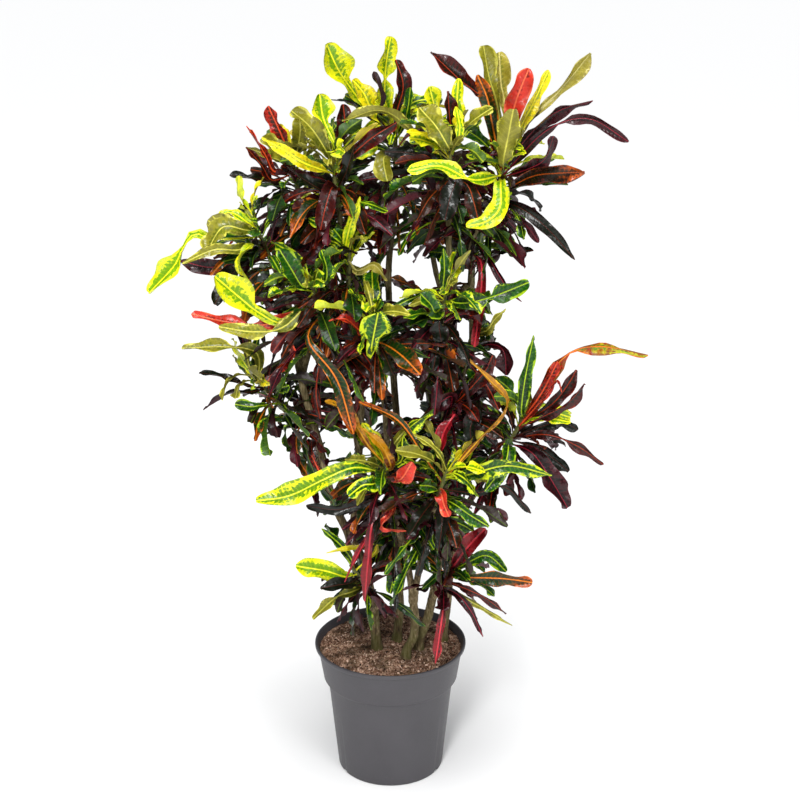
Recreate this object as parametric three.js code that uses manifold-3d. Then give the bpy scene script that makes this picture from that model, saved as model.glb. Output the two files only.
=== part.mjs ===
// A potted croton: a nursery pot filled with soil, five woody stems that stand in it, and the leafy
// heads at the ends of their limbs. Millimetres, +Z up, and the front of the plant faces -Y.
// The origin is the middle of the pot's underside.
import * as THREE from "three";
import { mergeVertices } from "three/addons/utils/BufferGeometryUtils.js";
import Module from "manifold-3d";

// ---- Driving dimensions ----

const GAP = 0.3; // between neighbouring pieces

const POT_HEIGHT = 243;
const POT_SIDES = 28;
const RIM_RADIUS = 135;
const LIP_HEIGHT = 7;
const BAND_TOP_RADIUS = 128.5;
const BAND_FOOT_RADIUS = 120;
const BAND_FOOT_HEIGHT = 178;
const LEDGE_RADIUS = 113; // the sharp step in under the band
const LEDGE_HEIGHT = 169;
const WALL_TOP_RADIUS = 109.5;
const WALL_TOP_HEIGHT = 150;
const FOOT_RADIUS = 95.5;
const FOOT_ROUND = 5;
const POT_WALL = 1.8;
const POT_FLOOR = 2.6;
const DRAIN_HOLES = 6;
const DRAIN_RADIUS = 5;
const DRAIN_CIRCLE = 62;
const FOOT_NOTCHES = 3;
const NOTCH_WIDTH = 13;
const NOTCH_HEIGHT = 5;

const SOIL_EDGE = 229; // height of the soil at the wall; it rises a little towards the stems
const SOIL_MOUND = 7;
const SOIL_RELIEF = 1.6;
const SOIL_CLEARANCE = 1.5; // from the pot's wall, which has flat sides
const SOIL_SIDES = 20;
const SOIL_RINGS = [1, 0.75, 0.4];
const ROOT_END = 168; // height of the lower end of each woody stem

const LIMB_SIDES = 5;
const LIMB_STEP = 85; // length between its rings

const SHOOT_HALF = 40; // half the length of a head's leafy shoot
const SHOOT_RADII = [4.5, 3.6, 2.6]; // at its foot, at its middle and at its tip
const SHOOT_SIDES = 4;
const YOUNG_FROM = 3; // height over the shoot's middle where the young leaves begin

const PETIOLE = 3.2; // width of a leaf's stalk
const RIB = 1.2; // thickness of a blade through its rib
const RIB_ROOT = 1.4; // what the stalk adds to it at the root
const FOLD = 0.24; // how far a blade's edges rise, as a share of its half width
const WAVE = 0.07; // height of the waves of its edges, as a share of its width
const GOLDEN_ANGLE = 137.5; // from each leaf to the next one up, round the shoot
const SPIRAL_LENGTHS = [98, 142];
const SPIRAL_WIDTHS = [20, 33];
const SPIRAL_WAYS = 10; // places tried for each leaf of the spiral
const NEARER = [0, 12, -12, 24, -24, 36, -36, 50, -50]; // and for each one placed by hand
const CLEAR_OF_OTHERS = 8; // from a leaf to the other heads and the limbs
const CLEAR_OF_OWN = 4.5; // and to the leaves of its own head
const TOWARDS_FRONT = new THREE.Vector3(0, -0.944, 0.329);

// How far the leaves of the spirals may reach at a height: [height, to the left, to the right].
const CROWN = [
  [300, 110, 175],
  [400, 120, 180],
  [475, 125, 155],
  [550, 145, 195],
  [600, 165, 290],
  [680, 220, 325],
  [735, 290, 325],
  [760, 280, 200],
  [795, 270, 180],
  [870, 295, 170],
  [935, 305, 185],
  [975, 305, 260],
  [1040, 250, 280],
  [1120, 240, 295],
  [1185, 200, 335],
];

// Where light shows through the crown, seen by an eye in front: [x, z, radius] at y 0.
const EYE = new THREE.Vector3(17, -2500, 1568);
const CLEARINGS = [
  [62, 915, 26],
  [4, 932, 17],
  [2, 880, 13],
  [-45, 937, 12],
  [128, 906, 15],
  [166, 901, 13],
  [21, 718, 19],
  [29, 682, 16],
  [-89, 613, 21],
  [-93, 569, 14],
  [131, 817, 14],
  [-141, 759, 12],
];

// Each head: the middle of its leafy shoot, the way it leans as [right, back] for 1 up, and how
// many young and old leaves grow on it in a spiral besides the ones that are placed by hand.
const HEADS = {
  top_left: [[-85, -60, 1080], [-0.1, -0.1], 3, 4],
  top_outer_left: [[-152, 15, 1070], [-0.12, 0], 3, 4],
  top_middle: [[10, 20, 1120], [0, -0.05], 2, 4],
  top_front: [[95, -80, 1110], [0, -0.15], 2, 5],
  top_right: [[175, -40, 1075], [0.25, -0.1], 1, 3],
  shoulder_left: [[-200, -60, 980], [-0.38, -0.16], 1, 5],
  mid_left: [[-115, -120, 905], [-0.2, -0.27], 1, 5],
  side_left: [[-200, -60, 730], [-0.8, -0.2], 2, 4],
  inner_left: [[-138, 30, 648], [-0.25, 0.1], 0, 4],
  inner_front: [[-64, -100, 946], [0.05, -0.3], 2, 4],
  mid_front: [[-22, -150, 857], [-0.05, -0.4], 3, 5],
  mid_right: [[85, -130, 892], [0.1, -0.45], 2, 5],
  inner_top: [[138, 20, 955], [0.1, 0.3], 0, 5],
  inner_right: [[132, -20, 800], [0.2, -0.15], 0, 5],
  mid_low: [[98, -88, 700], [0.15, -0.4], 0, 3],
  side_right: [[207, -80, 667], [0.45, -0.2], 2, 4],
  low_right: [[84, -150, 599], [0.25, -0.4], 2, 4],
  low_left: [[-2, -130, 603], [-0.15, -0.4], 1, 3],
  foot_left: [[-47, -90, 404], [-0.6, -0.35], 1, 3],
  foot_middle: [[50, 0, 465], [0.15, -0.2], 0, 5],
  foot_right: [[93, -100, 414], [0.35, -0.55], 0, 2],
  back_top_left: [[-105, 170, 970], [-0.2, 0.35], 3, 5],
  back_top_middle: [[69, 190, 1017], [0, 0.25], 3, 5],
  back_right: [[145, 150, 905], [0.05, 0.38], 2, 5],
  back_middle: [[-19, 200, 835], [0, 0.4], 0, 5],
  back_left: [[-125, 155, 790], [-0.2, 0.4], 0, 3],
  back_low_right: [[107, 160, 641], [0.2, 0.45], 0, 4],
  back_low_left: [[-37, 150, 587], [-0.15, 0.45], 0, 5],
  back_foot: [[17, 100, 392], [-0.1, 0.6], 0, 5],
};

// Each woody stem: its trunk and limbs as [radius at the foot, radius at the end, places..., head].
// A limb starts inside the one that carries it and ends under the shoot of the head it names.
const STEMS = {
  left: [
    [
      ...[9.5, 7.5, [-24, -20, ROOT_END], [-24, -20, 240], [-32, -25, 333], [-49, -30, 413]],
      ...[[-66, -35, 453]],
    ],
    [
      ...[7.2, 4.6, [-66, -35, 453], [-97, -40, 530], [-120, -50, 643], [-146, -60, 755]],
      ...[[-160, -52, 860], "shoulder_left"],
    ],
    [5, 4.2, [-28, -23, 286], [-32, -48, 322], "foot_left"],
    [5.8, 4.4, [-122, -51, 652], [-148, -56, 676], "side_left"],
    [5.8, 4.4, [-146, -60, 755], [-150, -25, 880], [-148, 5, 965], "top_outer_left"],
    [5.8, 4.6, [-146, -60, 755], [-112, -30, 870], [-88, -45, 970], "top_left"],
    [
      ...[6.5, 5, [-66, -35, 453], [-56, -38, 556], [-50, -55, 650], [-49, -70, 738]],
      ...[[-80, -88, 810], "mid_left"],
    ],
    [5.2, 4.4, [-49, -70, 738], [-56, -84, 830], "inner_front"],
    [5.2, 4.2, [-97, -40, 530], [-118, -5, 568], "inner_left"],
  ],
  middle: [
    [9, 7, [12, 10, ROOT_END], [12, 10, 240], [17, 10, 296], [15, 10, 345]],
    [
      ...[7, 4.8, [15, 10, 345], [20, 25, 450], [15, 30, 600], [5, 28, 750], [-2, 25, 900]],
      ...[[6, 20, 1000], "top_middle"],
    ],
    [5.5, 4.4, [15, 10, 330], [27, 10, 378], "foot_middle"],
    [6, 5, [15, 10, 345], [-24, 45, 410], [-35, 95, 480], "back_low_left"],
    [5.5, 4.6, [-33, 84, 465], [-62, 120, 600], [-40, 160, 720], "back_middle"],
    [5, 4.6, [-62, 120, 600], [-92, 148, 720], [-100, 152, 850], "back_top_left"],
    [5, 4.4, [-62, 120, 600], [-98, 136, 690], "back_left"],
    [5.5, 4.4, [15, 10, 296], [14, 45, 325], "back_foot"],
  ],
  front: [
    [8.5, 7, [28, -50, ROOT_END], [28, -50, 240], [40, -55, 275], [43, -60, 312], [40, -65, 350]],
    [6, 4.6, [40, -65, 350], [30, -80, 430], [15, -100, 500], "low_left"],
    [6, 4.6, [40, -65, 350], [55, -95, 460], [66, -118, 515], "low_right"],
    [5.5, 4.6, [22, -91, 468], [0, -72, 600], [-8, -98, 720], "mid_front"],
  ],
  right: [
    [9, 7.5, [50, -18, ROOT_END], [50, -18, 240], [65, -26, 297], [78, -38, 365]],
    [
      ...[7.5, 5.6, [78, -38, 365], [92, -42, 480], [94, -44, 600], [92, -45, 720]],
      ...[[97, -50, 850], [101, -58, 905]],
    ],
    [5.2, 4.6, [101, -58, 905], [112, -50, 945], [140, -42, 1000], "top_right"],
    [5.2, 4.6, [101, -58, 905], [95, -60, 985], "top_front"],
    [5, 4.4, [93, -44, 740], [88, -75, 810], "mid_right"],
    [4.8, 4.4, [97, -50, 850], [120, -15, 895], "inner_top"],
    [5, 4.4, [94, -44, 650], [112, -20, 715], "inner_right"],
    [5, 4.4, [94, -44, 590], [96, -62, 625], "mid_low"],
    [5.2, 4.4, [74, -35, 345], [82, -60, 362], "foot_right"],
  ],
  outer: [
    [8.5, 7, [95, 20, ROOT_END], [95, 20, 240], [102, 12, 321], [106, 10, 400]],
    [6.2, 4.8, [106, 10, 400], [124, 0, 480], [156, -35, 560], "side_right"],
    [6, 5, [106, 10, 400], [112, 55, 500], "back_low_right"],
    [5.4, 4.8, [112, 50, 490], [140, 72, 640], [142, 104, 770], "back_right"],
    [5.2, 4.6, [140, 72, 640], [114, 118, 770], [80, 150, 880], "back_top_middle"],
  ],
};

// The leaves that stand out, by head: form, width, height on the shoot from its middle, turn of the
// blade away from the front at its root and at its tip in degrees, and the places it passes through
// up to its tip.
const PLACED_LEAVES = {
  top_left: [
    ["strap", 32, 26, -20, 35, [-100, -84, 1140], [-122, -92, 1174], [-150, -92, 1198]],
    ["lance", 20, 14, 30, -30, [-132, -112, 1122], [-158, -120, 1142], [-194, -122, 1162]],
    ["spoon", 36, 34, 0, 20, [-84, -62, 1138], [-102, -52, 1178], [-108, -50, 1218]],
    ["strap", 24, 37, -20, 10, [-78, -50, 1140], [-70, -40, 1170], [-72, -36, 1200]],
    ["strap", 24, 10, -30, 40, [-60, -92, 1126], [-26, -100, 1158], [12, -100, 1182]],
    ["strap", 20, -14, 20, -40, [-68, -102, 1100], [-60, -116, 1124], [-52, -122, 1150]],
    ["strap", 28, -20, 10, -10, [-88, -108, 1082], [-98, -124, 1054], [-106, -130, 1020]],
    ["strap", 24, -24, 0, 20, [-64, -92, 1068], [-48, -108, 1044], [-36, -114, 1010]],
    ["lance", 18, -24, 0, 60, [-106, -104, 1078], [-136, -118, 1100], [-156, -122, 1118]],
  ],
  top_outer_left: [
    ["strap", 24, 28, 0, -40, [-158, 10, 1106], [-174, 0, 1150], [-192, 0, 1192]],
    ["strap", 28, 34, 0, 20, [-150, -4, 1112], [-142, -14, 1150], [-142, -16, 1184]],
    ["strap", 32, 16, 0, 30, [-162, -8, 1102], [-182, -18, 1126], [-202, -24, 1146]],
    ["strap", 24, 22, 0, 20, [-168, -6, 1122], [-172, -12, 1148], [-182, -14, 1172]],
    ["strap", 15, 12, 0, 60, [-188, -10, 1074], [-204, -20, 1100], [-228, -24, 1130]],
    ["strap", 20, -10, 20, 60, [-196, 0, 1070], [-220, -16, 1078], [-256, -20, 1084]],
    ["lance", 14, 20, 0, 80, [-186, 10, 1084], [-200, 4, 1112], [-228, 0, 1160]],
  ],
  top_middle: [
    ["spoon", 48, 30, 0, 20, [-38, 10, 1190], [-62, 4, 1220], [-82, -4, 1252], [-98, -12, 1290]],
    ["strap", 30, 24, 0, 30, [-28, -4, 1188], [-40, -8, 1212], [-58, -10, 1234]],
    ["broken", 32, 36, 0, 30, [-6, 22, 1194], [-6, 22, 1246], [2, 22, 1298]],
    ["lance", 15, 10, 20, 90, [-30, 42, 1164], [-62, 52, 1188], [-96, 52, 1194]],
    ["strap", 16, 15, 0, 140, [-16, -22, 1176], [-12, -32, 1212], [-24, -32, 1250]],
    ["strap", 24, 22, 0, 30, [12, -2, 1182], [22, -6, 1224], [10, 0, 1264]],
    ["strap", 17, 12, 0, -30, [22, -12, 1162], [30, -22, 1192], [34, -22, 1224]],
    ["spoon", 32, -14, 0, 20, [-6, -60, 1122], [-8, -78, 1114], [-2, -90, 1088]],
  ],
  top_front: [
    ["strap", 40, 26, -15, 25, [90, -112, 1148], [72, -118, 1178], [46, -112, 1206]],
    ["spoon", 27, 34, 0, 20, [84, -72, 1162], [72, -70, 1196], [62, -70, 1232]],
    ["strap", 15, 30, 0, 40, [106, -102, 1154], [108, -108, 1178], [102, -102, 1206]],
    ["strap", 20, 38, 60, 0, [116, -62, 1162], [106, -56, 1200], [108, -52, 1242]],
    ["strap", 22, 6, 0, 40, [100, -66, 1142], [94, -66, 1180], [90, -66, 1222]],
    ["strap", 30, -20, 20, 0, [104, -122, 1100], [94, -136, 1072], [86, -142, 1038]],
    ["strap", 26, -24, 0, 30, [120, -108, 1088], [132, -124, 1060], [140, -130, 1026]],
    ["strap", 19, 10, 160, 120, [50, -72, 1152], [-8, -90, 1198], [-72, -102, 1184]],
  ],
  top_right: [
    ["broken", 34, 12, 10, 40, [156, -22, 1192], [108, -30, 1240], [64, -32, 1282]],
    ["spoon", 32, 34, 0, 30, [170, -30, 1196], [156, -32, 1240], [146, -32, 1290]],
    ["spoon", 34, 39, 20, 0, [182, -10, 1196], [176, -6, 1226], [172, -4, 1274]],
    ["strap", 24, 16, 20, -20, [160, -62, 1176], [152, -66, 1214], [136, -70, 1250]],
    ["strap", 33, 36, -25, 20, [190, -50, 1168], [198, -56, 1210], [216, -56, 1258]],
    ["strap", 36, 24, 170, 190, [178, -82, 1120], [184, -96, 1162], [190, -102, 1202]],
    ["strap", 20, 30, 0, 40, [208, -20, 1160], [228, -16, 1200], [250, -10, 1250]],
    ["spoon", 27, 20, 0, 50, [224, 0, 1168], [274, 10, 1218], [318, 10, 1274]],
    ["lance", 24, 18, 40, 60, [214, -60, 1150], [260, -72, 1194], [314, -82, 1212]],
    ["broken", 20, 10, 20, 40, [240, -92, 1166], [304, -102, 1188], [368, -112, 1154]],
    ["strap", 26, 9, 0, 60, [220, -92, 1110], [242, -102, 1128], [252, -104, 1162]],
    ["strap", 28, -20, 10, 30, [220, -82, 1092], [258, -102, 1100], [298, -112, 1102]],
    ["strap", 24, -14, 0, 20, [176, -20, 1100], [154, -14, 1114], [126, -10, 1120]],
    ["lance", 20, -28, 20, 0, [204, -82, 1046], [246, -102, 1018], [292, -112, 968]],
    ["strap", 30, 9, 0, 20, [172, -118, 1086], [170, -138, 1056], [150, -144, 1036], [118, -146, 1028]],
    ["broken", 26, 14, -10, 30, [128, -122, 1096], [78, -134, 1118], [28, -138, 1110]],
  ],
  shoulder_left: [
    [
      "spoon", 36, 14, 20, 30, [-276, -82, 994],
      [-306, -88, 1004], [-326, -92, 980], [-340, -96, 954], [-382, -98, 910],
    ],
    ["strap", 38, 22, -10, 40, [-228, -92, 1012], [-260, -102, 1018], [-286, -104, 980]],
    ["lance", 18, 9, 30, 0, [-234, -112, 984], [-272, -122, 986], [-322, -124, 964]],
    ["strap", 26, -18, 20, -20, [-238, -82, 958], [-282, -88, 950], [-330, -92, 962]],
    ["lance", 16, 30, 0, 60, [-220, -72, 1016], [-248, -72, 1034], [-278, -74, 1028]],
    ["strap", 16, 36, 0, 170, [-216, -62, 1028], [-236, -62, 1060], [-236, -62, 1092]],
    ["strap", 17, 10, 0, 90, [-222, -118, 986], [-232, -132, 966], [-212, -134, 930]],
  ],
  mid_left: [
    ["spoon", 48, 16, -10, 20, [-162, -152, 878], [-200, -158, 894], [-230, -162, 920], [-268, -160, 954]],
    ["broken", 25, -8, 0, 40, [-190, -142, 872], [-252, -146, 876], [-310, -146, 890]],
    ["broken", 25, 9, 20, 0, [-162, -162, 874], [-208, -172, 868], [-262, -172, 876]],
    ["strap", 32, 28, -10, 20, [-134, -152, 936], [-150, -162, 966], [-168, -164, 998]],
    ["strap", 25, -28, 20, -10, [-126, -162, 852], [-82, -182, 794], [-56, -192, 706]],
    ["strap", 20, 36, 10, 40, [-100, -150, 942], [-96, -158, 966], [-104, -160, 996]],
  ],
  side_left: [
    ["broken", 24, 26, 0, 40, [-214, -92, 808], [-262, -102, 822], [-334, -104, 820]],
    ["strap", 14, 10, 20, 60, [-234, -92, 754], [-272, -96, 770], [-308, -102, 778]],
    ["lance", 14, 9, 0, 140, [-234, -102, 744], [-264, -108, 744], [-304, -112, 718]],
    ["spoon", 20, -26, 0, 20, [-208, -112, 726], [-224, -118, 726], [-250, -118, 730]],
    ["lance", 20, 14, 0, 120, [-180, -122, 790], [-156, -134, 824], [-182, -136, 850]],
  ],
  inner_left: [
    ["lance", 12, -10, 30, 60, [-170, -4, 648], [-190, -16, 648], [-214, -20, 640]],
    ["strap", 14, -20, 0, 30, [-142, -36, 636], [-128, -52, 612], [-110, -58, 574]],
  ],
  inner_front: [
    ["lance", 17, 34, 0, 30, [-68, -110, 984], [-60, -112, 1022], [-44, -112, 1066]],
    ["strap", 17, 20, 0, 60, [-48, -152, 962], [-22, -164, 974], [-2, -164, 948]],
    ["strap", 17, 9, 20, 70, [-86, -140, 970], [-76, -152, 998], [-48, -154, 992]],
  ],
  mid_front: [
    ["spoon", 46, 18, 0, 10, [-26, -182, 842], [-26, -206, 858], [-16, -222, 914]],
    ["lance", 17, 10, 0, 60, [-44, -190, 876], [-66, -204, 898], [-92, -206, 896]],
  ],
  mid_right: [
    ["broken", 32, 18, -10, 20, [118, -162, 912], [160, -168, 924], [216, -170, 948]],
    ["lance", 17, 34, 0, 20, [84, -142, 928], [86, -142, 960], [84, -142, 994]],
    ["strap", 27, 9, 0, 30, [72, -172, 900], [64, -184, 916], [48, -188, 934]],
    ["spoon", 30, -18, 0, 20, [80, -182, 892], [78, -196, 886], [82, -204, 864]],
  ],
  inner_top: [
    ["strap", 19, -10, 0, 30, [148, -62, 948], [146, -82, 892], [138, -84, 816]],
    ["lance", 12, 14, 0, 50, [164, -62, 952], [188, -72, 916], [214, -74, 890]],
  ],
  inner_right: [
    ["lance", 16, 20, 0, 50, [158, -62, 838], [170, -72, 860], [188, -74, 878]],
    ["spoon", 28, -6, 0, 30, [168, -62, 814], [186, -84, 808], [190, -90, 770]],
  ],
  side_right: [
    ["lance", 22, 32, -10, 30, [214, -112, 718], [218, -118, 774], [230, -114, 846]],
    ["broken", 24, 20, 10, 60, [246, -92, 746], [286, -102, 810], [342, -104, 824], [416, -108, 810]],
    ["strap", 20, 26, 0, 30, [246, -96, 740], [260, -104, 774], [270, -108, 800]],
    ["strap", 22, 15, 0, 20, [264, -96, 722], [288, -100, 756], [302, -102, 784]],
    ["strap", 22, -16, 0, 20, [242, -98, 648], [270, -102, 630], [296, -104, 608]],
    ["lance", 12, 10, 0, 90, [244, -122, 738], [268, -132, 776], [276, -134, 756]],
    ["strap", 22, 9, 30, 60, [254, -122, 714], [286, -134, 738], [312, -136, 772]],
    ["strap", 20, -8, 0, 40, [260, -92, 686], [286, -92, 690], [310, -90, 676]],
    ["broken", 18, -12, 10, 40, [256, -112, 676], [306, -122, 660], [350, -124, 628]],
    ["strap", 34, -22, 0, -25, [232, -122, 648], [262, -134, 608], [292, -136, 556]],
    ["strap", 24, -30, 0, -30, [192, -132, 664], [184, -152, 640], [152, -156, 596]],
  ],
  low_right: [
    ["lance", 28, 22, 0, 30, [128, -192, 638], [188, -204, 658], [258, -206, 642]],
    ["strap", 12, 10, 0, 30, [56, -172, 660], [14, -184, 726], [-48, -186, 758]],
    ["lance", 15, 16, 10, 150, [136, -172, 682], [186, -174, 748], [156, -172, 792], [110, -172, 836]],
    ["strap", 20, -12, 0, 40, [84, -192, 602], [88, -204, 590], [96, -208, 572]],
    ["strap", 22, -20, 0, 30, [106, -192, 586], [128, -204, 574], [160, -206, 554]],
    ["broken", 14, -4, 0, 40, [140, -182, 602], [186, -188, 614], [230, -190, 568]],
  ],
  low_left: [
    ["strap", 36, 14, 0, 20, [-54, -192, 650], [-104, -204, 634], [-158, -208, 608], [-212, -210, 600]],
    ["strap", 26, 9, 0, 30, [-24, -202, 626], [-42, -214, 628], [-64, -216, 610]],
    ["strap", 17, -14, 20, -20, [-28, -172, 586], [-80, -184, 574], [-134, -186, 582]],
    ["strap", 18, 36, 0, 40, [-34, -152, 672], [-68, -162, 732], [-102, -164, 752]],
    ["broken", 24, 30, 0, 60, [20, -162, 650], [24, -166, 698], [72, -166, 740]],
    ["lance", 17, 24, 0, 40, [2, -172, 646], [-14, -178, 682], [-44, -178, 712]],
    ["spoon", 30, 9, 0, 20, [14, -190, 628], [22, -206, 640], [36, -214, 668]],
    ["lance", 12, -22, 0, 80, [6, -182, 570], [-12, -194, 548], [32, -198, 542]],
    ["lance", 11, -28, 0, 60, [-4, -162, 560], [-38, -172, 514], [-74, -174, 440]],
    ["strap", 17, -18, 0, 30, [-26, -182, 554], [-34, -194, 490], [-40, -196, 416]],
  ],
  foot_middle: [
    ["strap", 24, 2, 0, 20, [18, -46, 420], [8, -54, 394], [0, -58, 362]],
    ["strap", 20, -24, 0, 20, [6, -54, 450], [-6, -62, 434], [-18, -64, 414]],
  ],
  foot_left: [
    ["lance", 15, 32, 0, 30, [-64, -102, 446], [-82, -108, 476], [-114, -110, 508]],
    ["lance", 10, 24, 0, 40, [-22, -112, 472], [-62, -128, 480], [-106, -134, 474]],
    ["strap", 34, 16, 0, 20, [-74, -132, 430], [-106, -144, 446], [-156, -146, 456]],
    ["strap", 22, 9, 10, 30, [-66, -142, 424], [-86, -152, 426], [-114, -154, 422]],
    ["broken", 18, -16, 0, 30, [-66, -122, 396], [-92, -132, 390], [-130, -134, 352]],
  ],
  foot_right: [
    ["strap", 28, 20, 0, -20, [108, -132, 452], [128, -144, 488], [158, -146, 524]],
    ["strap", 21, 10, 20, 0, [130, -132, 456], [162, -144, 474], [194, -146, 446]],
    ["strap", 26, 0, 10, 30, [142, -152, 438], [188, -164, 442], [236, -166, 436]],
    ["strap", 16, -10, 0, 60, [126, -152, 418], [160, -164, 406], [194, -166, 378]],
    ["lance", 10, -20, 0, 40, [124, -132, 392], [162, -144, 374], [206, -146, 346]],
    ["lance", 14, -28, 0, 30, [114, -142, 402], [138, -154, 374], [156, -156, 332]],
    ["strap", 16, -22, 0, 40, [90, -132, 376], [84, -138, 322], [78, -138, 270]],
  ],
  mid_low: [
    ["strap", 26, -6, 0, 30, [136, -130, 722], [130, -146, 696], [136, -150, 666]],
    ["strap", 22, 6, 0, -30, [100, -130, 748], [78, -146, 740], [56, -150, 718]],
    ["strap", 24, 16, 0, 30, [130, -120, 758], [152, -130, 790], [164, -134, 818]],
    ["broken", 22, -20, 0, 30, [106, -130, 718], [88, -144, 692], [82, -146, 658]],
  ],
};

// Each form of leaf: the half width at a share of its length, as a share of its full half width,
// and where its solid has rings.
const bulge = (t, foot, early, blunt) =>
  t <= foot ? 0 : Math.sin(Math.PI * ((t - foot) / (1 - foot)) ** early) ** blunt;
const FORMS = {
  strap: { reach: (t) => bulge(t, 0.12, 1.8, 0.45), rings: [0, 0.28, 0.6, 0.88] },
  lance: { reach: (t) => bulge(t, 0.08, 1, 0.65), rings: [0, 0.2, 0.45, 0.77] },
  broken: {
    reach: (t) => bulge(t, 0.1, 1.2, 0.42) * (1 - 0.9 * Math.exp(-(((t - 0.55) / 0.07) ** 2))),
    rings: [0, 0.22, 0.38, 0.55, 0.84],
  },
  spoon: {
    reach: (t) => Math.max(bulge(t, 0.64, 1, 0.42), 0.4 * bulge(t, 0.1, 1.4, 0.7) * (t < 0.66)),
    rings: [0, 0.55, 0.74, 0.92],
  },
};
const SPIRAL_FORMS = ["strap", "lance", "strap", "broken", "strap", "strap", "spoon"];

const COLOURS = {
  pot: 0x5b5a5d,
  soil: 0x4a3527,
  bark: 0x6f6450,
  old: 0x3a1f24,
  young: 0xa9b52e,
};

// ---- Joining and cutting ----

const wasm = await Module();
wasm.setup();

const solidFrom = (positions, triangles) =>
  new wasm.Manifold(
    new wasm.Mesh({
      numProp: 3,
      vertProperties: new Float32Array(positions),
      triVerts: new Uint32Array(triangles),
    }),
  );

function solidOf(geometry) {
  geometry.deleteAttribute("normal");
  geometry.deleteAttribute("uv");
  const merged = mergeVertices(geometry, 1e-4);
  return solidFrom(merged.attributes.position.array, merged.index.array);
}

function meshOf(name, solid, colour, roughness = 0.45) {
  const made = solid.getMesh();
  const geometry = new THREE.BufferGeometry();
  geometry.setAttribute("position", new THREE.BufferAttribute(made.vertProperties, 3));
  geometry.setIndex(new THREE.BufferAttribute(made.triVerts, 1));
  const finish = { color: colour, roughness, metalness: 0, flatShading: true };
  const mesh = new THREE.Mesh(geometry, new THREE.MeshStandardMaterial(finish));
  mesh.name = name;
  return mesh;
}

// A closed solid through rings of points that run anticlockwise about the way it goes. A last ring
// of one point is a sharp tip. Both faces of a four-pointed ring's blade split along like diagonals.
function loft(rings) {
  const triangles = [];
  const cap = (first, sides, turned) => {
    for (let k = 2; k < sides; k++) {
      const [b, c] = [first + k, first + ((k + 1) % sides)];
      triangles.push(first + 1, turned ? c : b, turned ? b : c);
    }
  };
  cap(0, rings[0].length, true);
  let first = 0;
  for (let i = 0; i + 1 < rings.length; i++) {
    const sides = rings[i].length;
    const next = first + sides;
    for (let a = 0; a < sides; a++) {
      const b = (a + 1) % sides;
      if (rings[i + 1].length === 1) triangles.push(first + a, first + b, next);
      else if (a < sides / 2)
        triangles.push(first + a, first + b, next + b, first + a, next + b, next + a);
      else triangles.push(first + a, first + b, next + a, first + b, next + b, next + a);
    }
    first = next;
  }
  if (rings.at(-1).length > 1) cap(first, rings.at(-1).length, false);
  return solidFrom(rings.flat().flatMap((p) => p.toArray()), triangles);
}

const vector = (place) => new THREE.Vector3(...place);
const curveThrough = (places) => new THREE.CatmullRomCurve3(places, false, "catmullrom", 0.5);

// A round ring of points about a place, square to a direction.
function roundRing(place, direction, radius, sides) {
  const tilt = new THREE.Quaternion().setFromUnitVectors(new THREE.Vector3(0, 0, 1), direction);
  return Array.from({ length: sides }, (_, k) => {
    const angle = (2 * Math.PI * k) / sides;
    const spoke = new THREE.Vector3(radius * Math.cos(angle), radius * Math.sin(angle), 0);
    return spoke.applyQuaternion(tilt).add(place);
  });
}

// ---- Pot ----

// The wall's profile from the middle of the floor out, up to the lip, and down inside.
function makePot() {
  const wallAt = (z) =>
    THREE.MathUtils.mapLinear(z, FOOT_ROUND, WALL_TOP_HEIGHT, FOOT_RADIUS, WALL_TOP_RADIUS);
  const outside = [
    [0, 0],
    [FOOT_RADIUS - 0.9 * FOOT_ROUND, 0],
    [FOOT_RADIUS, FOOT_ROUND],
    [WALL_TOP_RADIUS, WALL_TOP_HEIGHT],
    [LEDGE_RADIUS, LEDGE_HEIGHT],
    [BAND_FOOT_RADIUS, BAND_FOOT_HEIGHT],
    [BAND_TOP_RADIUS, POT_HEIGHT - LIP_HEIGHT - 5],
    [RIM_RADIUS - 1, POT_HEIGHT - LIP_HEIGHT],
    [RIM_RADIUS, POT_HEIGHT - LIP_HEIGHT / 2],
    [RIM_RADIUS - 2, POT_HEIGHT],
  ];
  const inside = [
    [RIM_RADIUS - 4.5, POT_HEIGHT],
    [BAND_TOP_RADIUS - POT_WALL, POT_HEIGHT - LIP_HEIGHT - 4],
    [BAND_FOOT_RADIUS - POT_WALL, BAND_FOOT_HEIGHT + 1],
    [LEDGE_RADIUS - POT_WALL, LEDGE_HEIGHT + 1],
    [WALL_TOP_RADIUS - POT_WALL, WALL_TOP_HEIGHT],
    [wallAt(POT_FLOOR + 3) - POT_WALL, POT_FLOOR + 3],
    [FOOT_RADIUS - POT_WALL - 4, POT_FLOOR],
    [0, POT_FLOOR],
  ];
  const profile = [...outside, ...inside].map(([r, z]) => new THREE.Vector2(r, z));
  let pot = solidOf(new THREE.LatheGeometry(profile, POT_SIDES).rotateX(Math.PI / 2));
  for (let k = 0; k < DRAIN_HOLES; k++) {
    const angle = (2 * Math.PI * (k + 0.5)) / DRAIN_HOLES;
    const hole = new THREE.CylinderGeometry(DRAIN_RADIUS, DRAIN_RADIUS, 4 * POT_FLOOR, 8);
    hole.rotateX(Math.PI / 2);
    hole.translate(DRAIN_CIRCLE * Math.cos(angle), DRAIN_CIRCLE * Math.sin(angle), 0);
    pot = pot.subtract(solidOf(hole));
  }
  for (let k = 0; k < FOOT_NOTCHES; k++) {
    const notch = new THREE.BoxGeometry(8 * POT_WALL, NOTCH_WIDTH, 2 * NOTCH_HEIGHT);
    notch.translate(FOOT_RADIUS, 0, 0);
    notch.rotateZ((2 * Math.PI * k) / FOOT_NOTCHES + Math.PI / 2);
    pot = pot.subtract(solidOf(notch));
  }
  return meshOf("pot", pot, COLOURS.pot, 0.6);
}

// ---- Soil ----

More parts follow.
